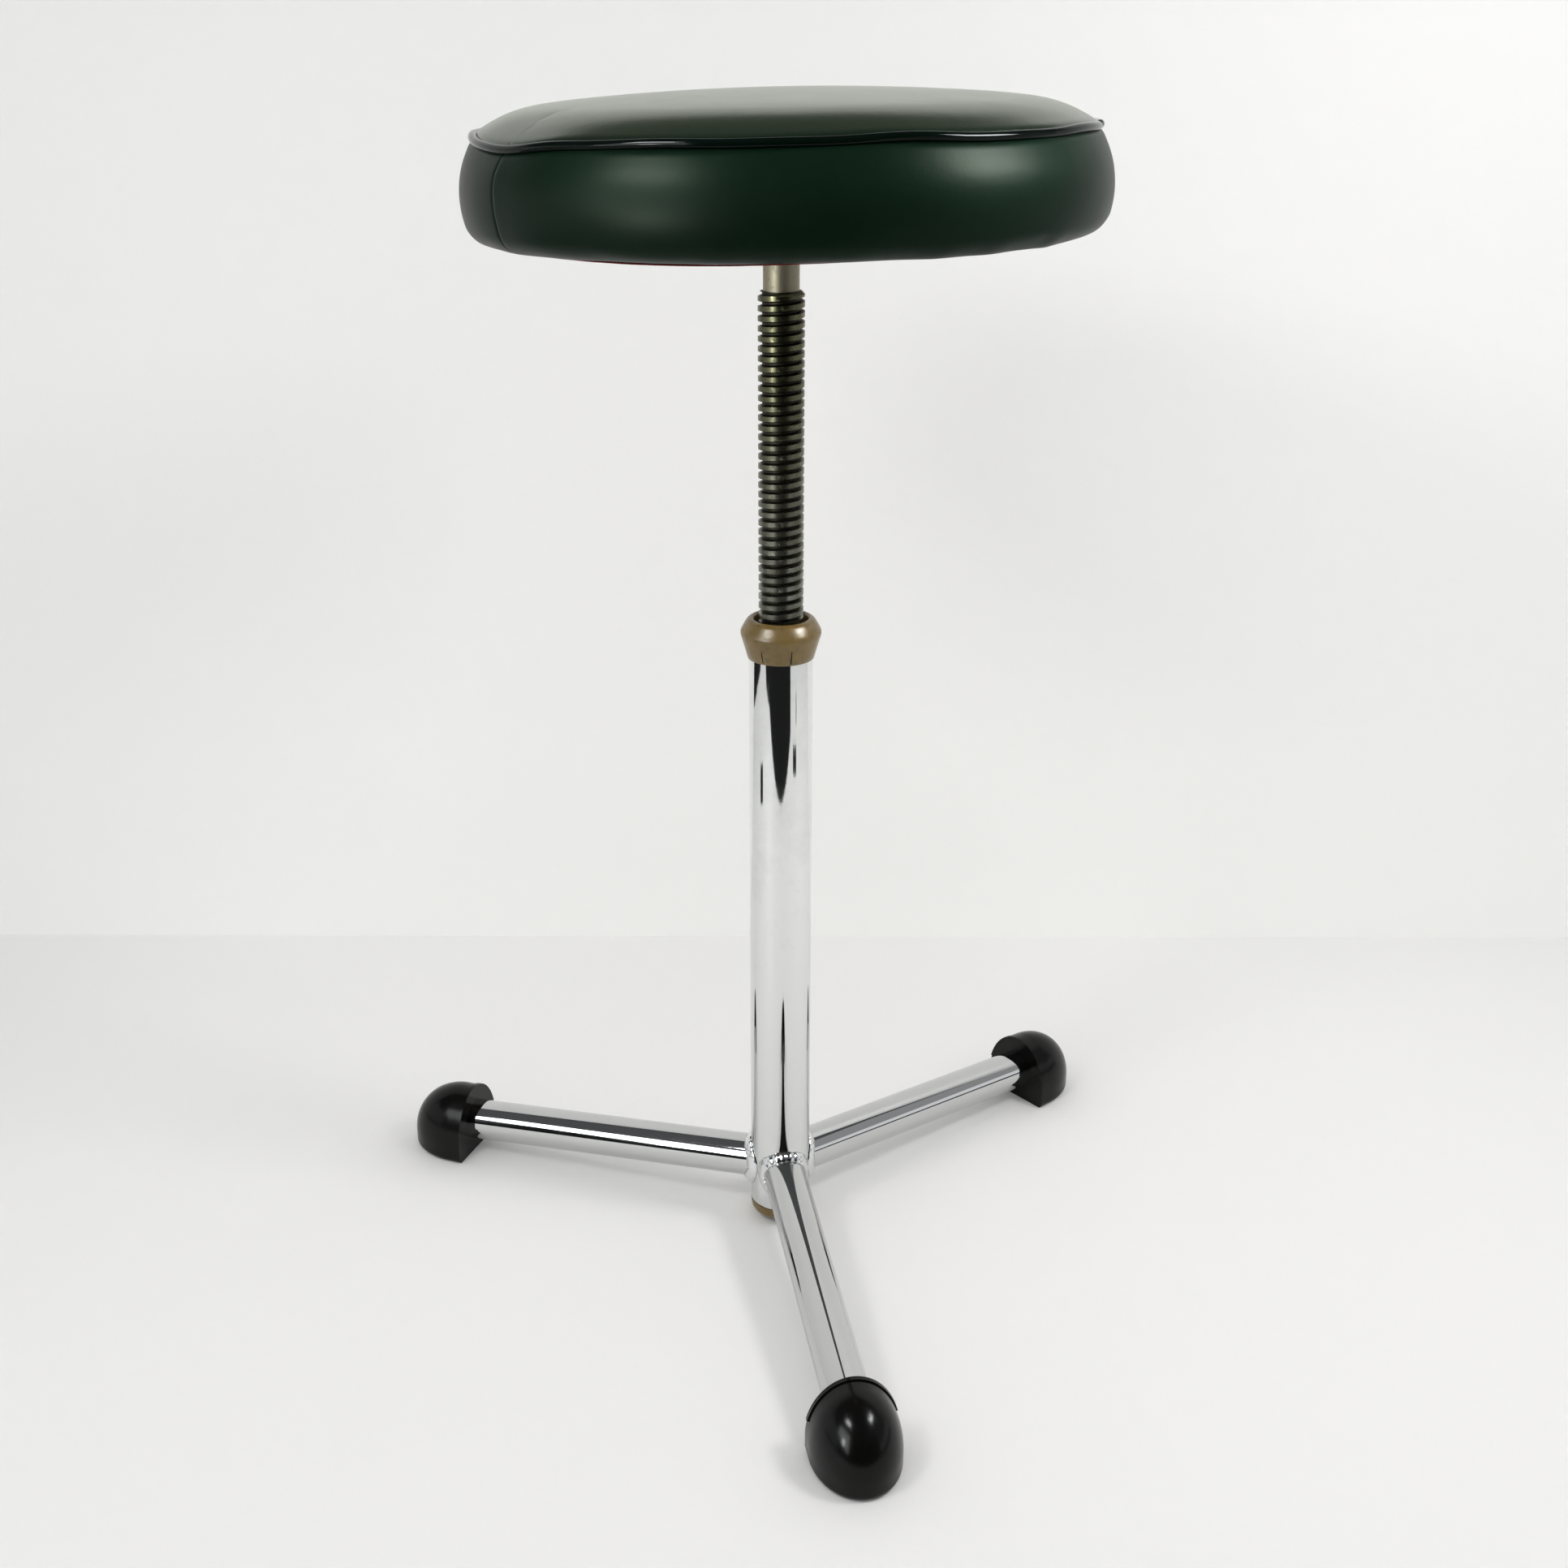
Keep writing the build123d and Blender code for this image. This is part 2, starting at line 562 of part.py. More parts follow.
def foam_pad():
    """Crowned foam on the board, with a skirt round the board's edge."""
    inset = VINYL + SOFT_GAP
    crown = crown_curve(inset, SEAM_R - FOAM_EDGE)
    side = side_curve(inset, SEAM_Z - FOAM_EDGE)
    skirt_r = BOARD_RADIUS + SOFT_GAP
    skirt = edge_end(side[-1])
    corners = [skirt, (skirt_r, skirt[1]), (skirt_r, BOARD_TOP_Z), (0, BOARD_TOP_Z), edge_start(crown[0])]
    base = [line(a, b) for a, b in zip(corners, corners[1:])]
    bevel = line(edge_end(crown[-1]), edge_start(side[0]))
    return turned([*crown, bevel, *side, *base])


def stool():
    """Every piece of the stool, by name."""
    pieces = {"column_tube": column_tube()}
    each_leg = {"leg": leg(), "weld": leg_weld(), "foot": foot(), "foot_washer": foot_washer()}
    for name, shape in each_leg.items():
        for side, copy in zip(LEG_SIDES, around(shape, len(LEG_SIDES), FIRST_LEG_ANGLE)):
            pieces[f"{name}_{side}"] = copy
    single = [column_collar, screw_nut, bottom_plug, guide_bush, spindle, stop_washer, stop_bolt]
    single += [seat_plate, spindle_weld, plate_screws, seat_board, under_lining, foam_pad]
    single += [seat_side_band, seat_top_panel, seat_piping, staples]
    for make in single:
        pieces[make.__name__] = make()
    return pieces


os.makedirs("parts", exist_ok=True)
for node, piece in stool().items():
    export_step(piece, f"parts/{node}.step")
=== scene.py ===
import math
import random

import bmesh
import bpy
import numpy as np
from mathutils import Matrix, Vector


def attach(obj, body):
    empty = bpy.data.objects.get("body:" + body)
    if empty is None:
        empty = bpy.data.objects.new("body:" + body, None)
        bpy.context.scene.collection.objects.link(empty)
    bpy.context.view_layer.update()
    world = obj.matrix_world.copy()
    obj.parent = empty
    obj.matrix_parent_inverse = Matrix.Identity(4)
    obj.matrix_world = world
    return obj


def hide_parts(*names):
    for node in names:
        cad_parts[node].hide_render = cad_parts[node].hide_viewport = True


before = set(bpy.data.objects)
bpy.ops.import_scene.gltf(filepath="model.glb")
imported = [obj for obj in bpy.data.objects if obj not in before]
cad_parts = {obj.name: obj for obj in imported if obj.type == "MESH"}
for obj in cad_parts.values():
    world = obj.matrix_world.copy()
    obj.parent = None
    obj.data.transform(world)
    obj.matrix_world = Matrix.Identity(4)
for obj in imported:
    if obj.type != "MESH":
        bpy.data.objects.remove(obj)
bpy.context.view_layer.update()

MM = 0.001

# The photograph looks at the stool a little from the left of its front leg.
PHOTO_TURN = math.radians(-10.15)
CAMERA_SPOT = (1.825 * MM, -962.4 * MM, 670.0 * MM)
CAMERA_PITCH = math.radians(22.0)
CAMERA_ROLL = math.radians(0.114)
PHOTO_SIZE = 1932
FOCAL_PIXELS = 2300.0
SENSOR_WIDTH = 36.0

# Lean of the seat on its spindle, and its shift to the right in millimetres. The CAD seat is level.
SEAT_TILT_SIDE = math.radians(1.15)
SEAT_TILT_FRONT = math.radians(0.45)
SEAT_SHIFT = 2.9

# Seat board, cover and lining, in millimetres, from the CAD sizes. The lining is thinner here.
BOARD_BOTTOM = 579.0
BOARD_THICKNESS = 12.0
BOARD_RADIUS = 145.0
BOARD_BORE = 8.0
VINYL = 1.2
HEM_INNER = 122.0
HEM_HEIGHT = 577.8
BULGE_CENTRE = (112.0, 598.0)
BULGE_RADIUS = 48.0
TURN_CENTRE = (148.6, 587.8)
TURN_RADIUS = 10.0
SEAM_RADIUS = 150.67
SEAM_HEIGHT = 625.6
PIPING_RADIUS = 2.2
CROWN_HEIGHT = 644.6
CROWN_CURVE = 1300.0
ROLL_START = 118.4
PANEL_RIM = (149.4, 627.9)
LINING_THICKNESS = 0.6

# Dips and rises of the sewn edge: azimuth from the camera's side in degrees, height, width in degrees.
SEAM_WAVES = [(-58.0, -3.9, 11.0), (16.0, 1.1, 9.0), (38.0, -0.5, 8.0), (128.0, -1.6, 16.0),
              (-140.0, 1.3, 14.0)]
SEAM_SPREAD = 9.0
BAND_SEAM_AZIMUTH = -56.0
PIPING_JOINT_AZIMUTH = 79.0

# The cover's mesh, its swelling, and the gathers where the band turns under the board.
COVER_COLUMNS = 144
CROWN_HOLD = 0.35
CROWN_EVEN = 60.0
SWELL_CAP = 2.2
CLOTH_FRAMES = 20
PLEATS = 46
PLEAT_RISE = 9.0
PLEAT_RADIUS = 149.0
PLEAT_SPREAD = 7.0
SEED = 11

# Where finishes change and where painted shade and highlight begin, in millimetres: radius of the
# thread, and heights over the floor.
THREAD_ROOT, THREAD_CREST = 10.2, 11.4
THREAD_OILY, THREAD_USED = 500.0, 395.0
NECK_START, NECK_FULL = 548.4, 548.9
# Heights between which a painted shade darkens the chrome towards the floor.
CHROME_SHADE_START, CHROME_SHADE_FULL = 260.0, 60.0
# Height under which a painted highlight makes the rubber feet lighter along the floor.
FOOT_HIGHLIGHT_HEIGHT = 9.0
# Heights between which a painted shade greys the wall towards its top, then where the wall ends in
# mirrors.
WALL_SHADE_START, WALL_SHADE_FULL = 150.0, 850.0
WALL_END_START, WALL_END = 930.0, 1050.0


def from_camera_side(azimuth):
    """Part's angle of an azimuth in degrees from the camera's side, positive to the right."""
    return math.radians(azimuth - 90.0) + PHOTO_TURN


def photo_frame():
    """Turns the studio's axes, square to the photograph, into the part's."""
    return Matrix.Rotation(PHOTO_TURN, 4, "Z")


def angle_gap(a, b):
    """Signed difference of two angles, within half a turn."""
    return (a - b + math.pi) % (2 * math.pi) - math.pi


def bell(x, width):
    return math.exp(-0.5 * (x / width) ** 2)


def seam_wave(angle):
    """Height of the sewn edge over its flat circle, in millimetres."""
    total = 0.0
    for azimuth, height, width in SEAM_WAVES:
        total += height * bell(math.degrees(angle_gap(angle, from_camera_side(azimuth))), width)
    return total


def seat_tilt():
    """Lean of the seat on its spindle, right side and front higher, and its shift to the right."""
    pivot = Matrix.Translation((0, 0, BOARD_BOTTOM * MM))
    lean = Matrix.Rotation(-SEAT_TILT_SIDE, 4, "Y") @ Matrix.Rotation(-SEAT_TILT_FRONT, 4, "X")
    turn = photo_frame()
    shift = Matrix.Translation((SEAT_SHIFT * MM, 0, 0))
    return pivot @ turn @ shift @ lean @ turn.inverted() @ pivot.inverted()


def new_object(name, data):
    obj = bpy.data.objects.new(name, data)
    bpy.context.scene.collection.objects.link(obj)
    return obj


def shade_smooth(mesh):
    mesh.polygons.foreach_set("use_smooth", [True] * len(mesh.polygons))


def finished_mesh(bm, name):
    """Mesh of a bmesh in millimetres, turned into metres, shaded smooth."""
    bmesh.ops.scale(bm, vec=(MM, MM, MM), verts=bm.verts)
    bmesh.ops.recalc_face_normals(bm, faces=bm.faces)
    mesh = bpy.data.meshes.new(name)
    bm.to_mesh(mesh)
    bm.free()
    shade_smooth(mesh)
    return mesh


def apply_modifiers(obj):
    """Replaces the object's mesh with its evaluated one and drops its modifiers."""
    bpy.context.view_layer.update()
    graph = bpy.context.evaluated_depsgraph_get()
    mesh = bpy.data.meshes.new_from_object(obj.evaluated_get(graph), depsgraph=graph)
    old = obj.data
    obj.modifiers.clear()
    obj.data = mesh
    bpy.data.meshes.remove(old)


def paint(obj, material):
    obj.data.materials.clear()
    obj.data.materials.append(material)


def skin(bm, rings):
    """Quads between each ring of points and the next."""
    for one, two in zip(rings, rings[1:]):
        count = len(one)
        for j in range(count):
            bm.faces.new((one[j], one[(j + 1) % count], two[(j + 1) % count], two[j]))


def seat_piece(name, mesh, material):
    """Painted object of a mesh that leans with the seat."""
    obj = new_object(name, mesh)
    obj.data.transform(seat_tilt())
    paint(obj, material)
    return obj


# Shader groups and materials

def node_input(tree, label, kind, value):
    """Named input of a node tree, with the value that it starts from."""
    socket = tree.interface.new_socket(name=label, in_out="INPUT", socket_type=kind)
    socket.default_value = value


def shader_group(name, inputs, outputs):
    """Empty shader node group with float sockets; returns it with its input and output nodes."""
    group = bpy.data.node_groups.new(name, "ShaderNodeTree")
    for label, value in inputs.items():
        node_input(group, label, "NodeSocketFloat", value)
    for label in outputs:
        group.interface.new_socket(name=label, in_out="OUTPUT", socket_type="NodeSocketFloat")
    return group, group.nodes.new("NodeGroupInput"), group.nodes.new("NodeGroupOutput")


def object_spot(tree):
    return tree.nodes.new("ShaderNodeTexCoord").outputs["Object"]


def math_node(tree, operation, first, second=None, clamp=False):
    node = tree.nodes.new("ShaderNodeMath")
    node.operation = operation
    node.use_clamp = clamp
    for index, value in enumerate((first, second)):
        if value is None:
            continue
        if isinstance(value, (int, float)):
            node.inputs[index].default_value = value
        else:
            tree.links.new(value, node.inputs[index])
    return node.outputs[0]


def noise_node(tree, vector, scale, detail, roughness):
    node = tree.nodes.new("ShaderNodeTexNoise")
    node.inputs["Detail"].default_value = detail
    node.inputs["Roughness"].default_value = roughness
    tree.links.new(vector, node.inputs["Vector"])
    if isinstance(scale, (int, float)):
        node.inputs["Scale"].default_value = scale
    else:
        tree.links.new(scale, node.inputs["Scale"])
    return node.outputs["Fac"]


def stretch(tree, value, low, high):
    """Value spread so that low becomes 0 and high becomes 1, held between them."""
    node = tree.nodes.new("ShaderNodeMapRange")
    for label, number in (("From Min", low), ("From Max", high)):
        if isinstance(number, (int, float)):
            node.inputs[label].default_value = number
        else:
            tree.links.new(number, node.inputs[label])
    tree.links.new(value, node.inputs["Value"])
    return node.outputs["Result"]


def make_soiling_group():
    """Uneven dirt and handling marks: broad clouds broken up by a finer one."""
    inputs = {"Scale": 20.0, "Cover": 0.5, "Softness": 0.15}
    group, source, sink = shader_group("soiling", inputs, ["Mask"])
    spot = object_spot(group)
    broad = noise_node(group, spot, source.outputs["Scale"], 4.0, 0.6)
    finer = math_node(group, "MULTIPLY", source.outputs["Scale"], 7.0)
    fine = math_node(group, "MULTIPLY", noise_node(group, spot, finer, 3.0, 0.6), 0.28)
    clouds = math_node(group, "ADD", math_node(group, "MULTIPLY", broad, 0.72), fine)
    edge = math_node(group, "SUBTRACT", 1.0, source.outputs["Cover"])
    low = math_node(group, "SUBTRACT", edge, source.outputs["Softness"])
    high = math_node(group, "ADD", edge, source.outputs["Softness"])
    group.links.new(stretch(group, clouds, low, high), sink.inputs["Mask"])
    return group


def make_grain_group():
    """Fine surface grain: a cell pattern mixed with a soft ripple."""
    group, source, sink = shader_group("surface_grain", {"Scale": 900.0, "Ripple": 0.4}, ["Height"])
    spot = object_spot(group)
    cells = group.nodes.new("ShaderNodeTexVoronoi")
    cells.feature = "SMOOTH_F1"
    group.links.new(spot, cells.inputs["Vector"])
    group.links.new(source.outputs["Scale"], cells.inputs["Scale"])
    wider = math_node(group, "MULTIPLY", source.outputs["Scale"], 0.12)
    soft = noise_node(group, spot, wider, 2.0, 0.5)
    ripple = math_node(group, "MULTIPLY", soft, source.outputs["Ripple"])
    height = math_node(group, "ADD", cells.outputs["Distance"], ripple)
    group.links.new(height, sink.inputs["Height"])
    return group


def make_axis_group():
    """Distance from the column's axis and height over the floor, in millimetres."""
    group, source, sink = shader_group("about_the_axis", {"Unit": 1000.0}, ["Radius", "Height"])
    spot = object_spot(group)
    split = group.nodes.new("ShaderNodeSeparateXYZ")
    group.links.new(spot, split.inputs[0])
    across = math_node(group, "MULTIPLY", split.outputs["X"], split.outputs["X"])
    along = math_node(group, "MULTIPLY", split.outputs["Y"], split.outputs["Y"])
    reach = math_node(group, "SQRT", math_node(group, "ADD", across, along))
    for label, length in (("Radius", reach), ("Height", split.outputs["Z"])):
        sized = math_node(group, "MULTIPLY", length, source.outputs["Unit"])
        group.links.new(sized, sink.inputs[label])
    return group


SOILING = make_soiling_group()
GRAIN = make_grain_group()
ABOUT_AXIS = make_axis_group()


class Finish:
    """A material around one Principled BSDF, with helpers for its patterns."""

    def __init__(self, name, **sockets):
        self.material = bpy.data.materials.new(name)
        self.material.use_nodes = True
        self.tree = self.material.node_tree
        self.shader = self.tree.nodes["Principled BSDF"]
        for label, value in sockets.items():
            self.shader.inputs[label.replace("_", " ")].default_value = value

    def group(self, group, output, **values):
        node = self.tree.nodes.new("ShaderNodeGroup")
        node.node_tree = group
        for label, value in values.items():
            node.inputs[label].default_value = value
        return node.outputs[output]

    def soiling(self, scale, cover, softness):
        return self.group(SOILING, "Mask", Scale=scale, Cover=cover, Softness=softness)

    def height(self):
        return self.group(ABOUT_AXIS, "Height")

    def blend(self, mask, first, second):
        """Colour between two, each a tuple or a socket."""
        node = self.tree.nodes.new("ShaderNodeMix")
        node.data_type = "RGBA"
        self.tree.links.new(mask, node.inputs["Factor"])
        for socket, value in ((node.inputs[6], first), (node.inputs[7], second)):
            if isinstance(value, tuple):
                socket.default_value = (*value, 1.0)
            else:
                self.tree.links.new(value, socket)
        return node.outputs[2]

    def between(self, mask, first, second):
        """Number between two as a mask goes from 0 to 1."""
        node = self.tree.nodes.new("ShaderNodeMapRange")
        node.inputs["To Min"].default_value = first
        node.inputs["To Max"].default_value = second
        self.tree.links.new(mask, node.inputs["Value"])
        return node.outputs["Result"]

    def math(self, operation, first, second, clamp=False):
        return math_node(self.tree, operation, first, second, clamp)

    def stretch(self, value, low, high):
        return stretch(self.tree, value, low, high)

    def feed(self, label, output):
        self.tree.links.new(output, self.shader.inputs[label])

    def bump(self, height, distance, strength):
        """Adds a bump on top of any bump that is there already."""
        node = self.tree.nodes.new("ShaderNodeBump")
        node.inputs["Distance"].default_value = distance
        node.inputs["Strength"].default_value = strength
        self.tree.links.new(height, node.inputs["Height"])
        normal = self.shader.inputs["Normal"]
        if normal.is_linked:
            self.tree.links.new(normal.links[0].from_socket, node.inputs["Normal"])
        self.tree.links.new(node.outputs["Normal"], normal)

    def lumps(self, scale, distance, strength):
        """Soft unevenness of the whole surface."""
        self.bump(self.soiling(scale=scale, cover=0.5, softness=0.5), distance, strength)

    def grain(self, scale, ripple, distance, strength):
        self.bump(self.group(GRAIN, "Height", Scale=scale, Ripple=ripple), distance, strength)


def green_vinyl(name, gloss, dust, smooth, rough):
    """Dark green vinyl with a fine grain; dust gives it a pale bloom seen along the surface."""
    finish = Finish(name, Specular_IOR_Level=gloss, Specular_Tint=(0.88, 1.0, 0.78, 1.0),
                    Sheen_Weight=dust, Sheen_Roughness=0.45, Sheen_Tint=(0.85, 0.95, 0.55, 1.0))
    rubbed = finish.soiling(scale=9.0, cover=0.5, softness=0.22)
    dyed = finish.blend(rubbed, (0.0014, 0.0080, 0.0040), (0.0024, 0.0118, 0.0060))
    finish.feed("Base Color", dyed)
    finish.feed("Roughness", finish.between(rubbed, smooth, rough))
    finish.grain(scale=1400.0, ripple=0.8, distance=0.00006, strength=0.3)
    finish.lumps(scale=55.0, distance=0.00025, strength=0.35)
    return finish.material


def green_piping():
    finish = Finish("green_piping", Specular_IOR_Level=0.12)
    rubbed = finish.soiling(scale=30.0, cover=0.42, softness=0.2)
    dyed = finish.blend(rubbed, (0.0010, 0.0034, 0.0022), (0.0020, 0.0066, 0.0042))
    finish.feed("Base Color", dyed)
    finish.feed("Roughness", finish.between(rubbed, 0.08, 0.17))
    finish.lumps(scale=90.0, distance=0.0002, strength=0.4)
    return finish.material


def chrome_plate(name, bright, dull, haze_low, haze_high):
    """Chrome plating with a faint haze and a few pits, and a painted shade that darkens it towards the
    floor.
    """
    finish = Finish(name, Metallic=1.0)
    haze = finish.soiling(scale=34.0, cover=0.4, softness=0.2)
    pits = finish.soiling(scale=160.0, cover=0.27, softness=0.015)
    # Painted shade: the chrome goes from its bright colour to its dull one towards the floor, for the
    # shadowed floor it mirrors. The dull colour also stands for the haze.
    low = finish.stretch(finish.height(), CHROME_SHADE_START, CHROME_SHADE_FULL)
    hazed_and_shaded = finish.blend(finish.math("MAXIMUM", haze, low), bright, dull)
    finish.feed("Base Color", finish.blend(pits, hazed_and_shaded, (0.20, 0.18, 0.16)))
    smooth = finish.between(haze, haze_low, haze_high)
    finish.feed("Roughness", finish.math("ADD", smooth, finish.between(pits, 0.0, 0.35)))
    finish.lumps(scale=70.0, distance=0.00005, strength=0.25)
    return finish.material


def weld_chrome():
    finish = Finish("weld_chrome", Metallic=1.0)
    haze = finish.soiling(scale=120.0, cover=0.42, softness=0.2)
    finish.feed("Base Color", finish.blend(haze, (0.83, 0.84, 0.845), (0.66, 0.66, 0.655)))
    finish.feed("Roughness", finish.between(haze, 0.06, 0.2))
    finish.lumps(scale=210.0, distance=0.0003, strength=0.3)
    return finish.material


def black_rubber():
    finish = Finish("black_rubber", Specular_IOR_Level=0.18)
    dust = finish.soiling(scale=60.0, cover=0.4, softness=0.2)
    scuff = finish.soiling(scale=190.0, cover=0.3, softness=0.05)
    # Painted highlight: the rubber is lighter in its lowest millimetres, along the floor. The dust
    # mask adds real dust.
    low = finish.stretch(finish.height(), FOOT_HIGHLIGHT_HEIGHT, 0.0)
    dusty = finish.math("MULTIPLY", dust, 0.35)
    dust_and_highlight = finish.math("ADD", dusty, finish.math("MULTIPLY", low, 0.5), clamp=True)
    black = finish.blend(dust_and_highlight, (0.0024, 0.0024, 0.0022), (0.0070, 0.0068, 0.0058))
    finish.feed("Base Color", black)
    worn = finish.between(dust_and_highlight, 0.18, 0.30)
    finish.feed("Roughness", finish.math("ADD", worn, finish.between(scuff, 0.0, 0.15)))
    finish.grain(scale=1700.0, ripple=0.5, distance=0.00004, strength=0.4)
    finish.bump(scuff, 0.0001, 0.4)
    return finish.material


def tan_nylon():
    finish = Finish("tan_nylon", Subsurface_Weight=0.08, Subsurface_Scale=0.002,
                    Subsurface_Radius=(1.0, 0.6, 0.25))
    blotch = finish.soiling(scale=75.0, cover=0.5, softness=0.25)
    grime = finish.soiling(scale=220.0, cover=0.38, softness=0.10)
    aged = finish.blend(blotch, (0.215, 0.142, 0.038), (0.125, 0.083, 0.024))
    finish.feed("Base Color", finish.blend(grime, aged, (0.070, 0.047, 0.022)))
    finish.feed("Roughness", finish.between(blotch, 0.24, 0.36))
    finish.lumps(scale=150.0, distance=0.0004, strength=0.4)
    return finish.material


def oiled_screw():
    """Dark oily thread with bright worn crests, and a pale pitted neck above it."""
    finish = Finish("oiled_screw", Metallic=1.0)
    radius = finish.group(ABOUT_AXIS, "Radius")
    height = finish.height()
    crest = finish.stretch(radius, THREAD_ROOT, THREAD_CREST)
    worn = finish.soiling(scale=130.0, cover=0.5, softness=0.2)
    used = finish.stretch(height, THREAD_OILY, THREAD_USED)
    metal = finish.blend(used, (0.126, 0.123, 0.069), (0.285, 0.290, 0.250))
    oily = finish.blend(worn, metal, (0.068, 0.067, 0.042))
    thread = finish.blend(crest, (0.028, 0.027, 0.019), oily)
    pits = finish.soiling(scale=260.0, cover=0.36, softness=0.06)
    neck = finish.blend(pits, (0.29, 0.268, 0.192), (0.115, 0.098, 0.062))
    is_neck = finish.stretch(height, NECK_START, NECK_FULL)
    finish.feed("Base Color", finish.blend(is_neck, thread, neck))
    rough = finish.math("ADD", finish.between(crest, 0.45, 0.24), finish.between(worn, 0.0, 0.10))
    finish.feed("Roughness", rough)
    finish.bump(pits, 0.0002, 0.6)
    return finish.material


def plated_steel():
    finish = Finish("plated_steel", Metallic=1.0)
    dull = finish.soiling(scale=45.0, cover=0.5, softness=0.25)
    finish.feed("Base Color", finish.blend(dull, (0.56, 0.56, 0.55), (0.40, 0.39, 0.37)))
    finish.feed("Roughness", finish.between(dull, 0.28, 0.45))
    finish.grain(scale=700.0, ripple=0.5, distance=0.00004, strength=0.4)
    return finish.material


def red_lining():
    """Plain-woven lining: two crossed sets of threads in the board's plane."""
    finish = Finish("red_lining", Roughness=0.85, Specular_IOR_Level=0.15, Sheen_Weight=0.08,
                    Sheen_Roughness=0.5, Sheen_Tint=(0.8, 0.25, 0.2, 1.0))
    tree = finish.tree
    spot = object_spot(tree)
    threads = []
    for direction in ("X", "Y"):
        wave = tree.nodes.new("ShaderNodeTexWave")
        wave.bands_direction = direction
        wave.inputs["Scale"].default_value = 230.0
        wave.inputs["Distortion"].default_value = 0.6
        tree.links.new(spot, wave.inputs["Vector"])
        threads.append(wave.outputs["Fac"])
    weave = finish.math("MULTIPLY", threads[0], threads[1])
    faded = finish.soiling(scale=16.0, cover=0.45, softness=0.25)
    dyed = finish.blend(faded, (0.28, 0.017, 0.013), (0.20, 0.020, 0.016))
    finish.feed("Base Color", finish.blend(weave, (0.12, 0.010, 0.009), dyed))
    finish.bump(weave, 0.00025, 0.7)
    return finish.material


def birch_plywood():
    """Pale veneer with grain along X, and thin layers on the edge."""
    finish = Finish("birch_plywood", Roughness=0.6)
    tree = finish.tree
    spot = object_spot(tree)
    mapping = tree.nodes.new("ShaderNodeMapping")
    mapping.inputs["Scale"].default_value = (6.0, 90.0, 1.0)
    tree.links.new(spot, mapping.inputs["Vector"])
    grain = noise_node(tree, mapping.outputs["Vector"], 3.0, 5.0, 0.6)
    layers = tree.nodes.new("ShaderNodeTexWave")
    layers.bands_direction = "Z"
    layers.inputs["Scale"].default_value = 130.0
    tree.links.new(spot, layers.inputs["Vector"])
    veneer = finish.blend(grain, (0.50, 0.36, 0.20), (0.62, 0.48, 0.30))
    finish.feed("Base Color", finish.blend(layers.outputs["Fac"], veneer, (0.40, 0.26, 0.13)))
    finish.bump(grain, 0.0002, 0.3)
    return finish.material


# Seat cover

def arc_points(centre, radius, start, end, count):
    """(r, z) points on an arc, angles in degrees from the outward radius."""
    angles = np.radians(np.linspace(start, end, count))
    return [(centre[0] + radius * math.cos(a), centre[1] + radius * math.sin(a)) for a in angles]


def panel_profile():
    """Crown and rolled edge of the top panel, from the middle out to the seam."""
    centre_z = CROWN_HEIGHT - CROWN_CURVE
    radii = np.linspace(0, ROLL_START, 15)
    crown = [(r, centre_z + math.sqrt(CROWN_CURVE ** 2 - r * r)) for r in radii]
    start = crown[-1]
    normal = (-start[0] / CROWN_CURVE, -(start[1] - centre_z) / CROWN_CURVE)
    chord = (PANEL_RIM[0] - start[0], PANEL_RIM[1] - start[1])
    radius = (chord[0] ** 2 + chord[1] ** 2) / (2 * (chord[0] * normal[0] + chord[1] * normal[1]))
    centre = (start[0] + radius * normal[0], start[1] + radius * normal[1])
    first = math.degrees(math.atan2(-normal[1], -normal[0]))
    last = math.degrees(math.atan2(PANEL_RIM[1] - centre[1], PANEL_RIM[0] - centre[0]))
    return crown + arc_points(centre, radius, first, last, 10)[1:]


def band_profile():
    """Side band from under the piping down to the inner edge of its hem."""
    top_z = SEAM_HEIGHT - PIPING_RADIUS - 0.3
    top = math.degrees(math.asin((top_z - BULGE_CENTRE[1]) / BULGE_RADIUS))
    across, rise = TURN_CENTRE[0] - BULGE_CENTRE[0], TURN_CENTRE[1] - BULGE_CENTRE[1]
    low = math.degrees(math.atan2(rise, across))
    bulge = arc_points(BULGE_CENTRE, BULGE_RADIUS, top, low, 14)
    turn = arc_points(TURN_CENTRE, TURN_RADIUS, low, -90.0, 8)[1:]
    hem = [(r, HEM_HEIGHT) for r in np.linspace(TURN_CENTRE[0], HEM_INNER, 7)[1:]]
    return bulge + turn + hem


def cover_columns():
    """Azimuths of the cover's mesh, closer together beside the band's sewn seam."""
    angles = [2 * math.pi * k / COVER_COLUMNS for k in range(COVER_COLUMNS)]
    seam = from_camera_side(BAND_SEAM_AZIMUTH)
    spread = [math.radians(step) for step in (-1.1, -0.55, -0.22, 0.0, 0.22, 0.55, 1.1)]
    keep = [a for a in angles if abs(angle_gap(a, seam)) > math.radians(1.7)]
    return sorted(keep + [(seam + step) % (2 * math.pi) for step in spread])


def pleat_table():
    """Seeded azimuth, size and width of the gathers where the band turns under the board."""
    chance = random.Random(SEED)
    gathers = []
    for k in range(PLEATS):
        angle = 2 * math.pi * (k + chance.uniform(-0.35, 0.35)) / PLEATS
        gathers.append((angle, chance.uniform(-0.5, 0.9), math.radians(chance.uniform(1.1, 2.4))))
    return gathers


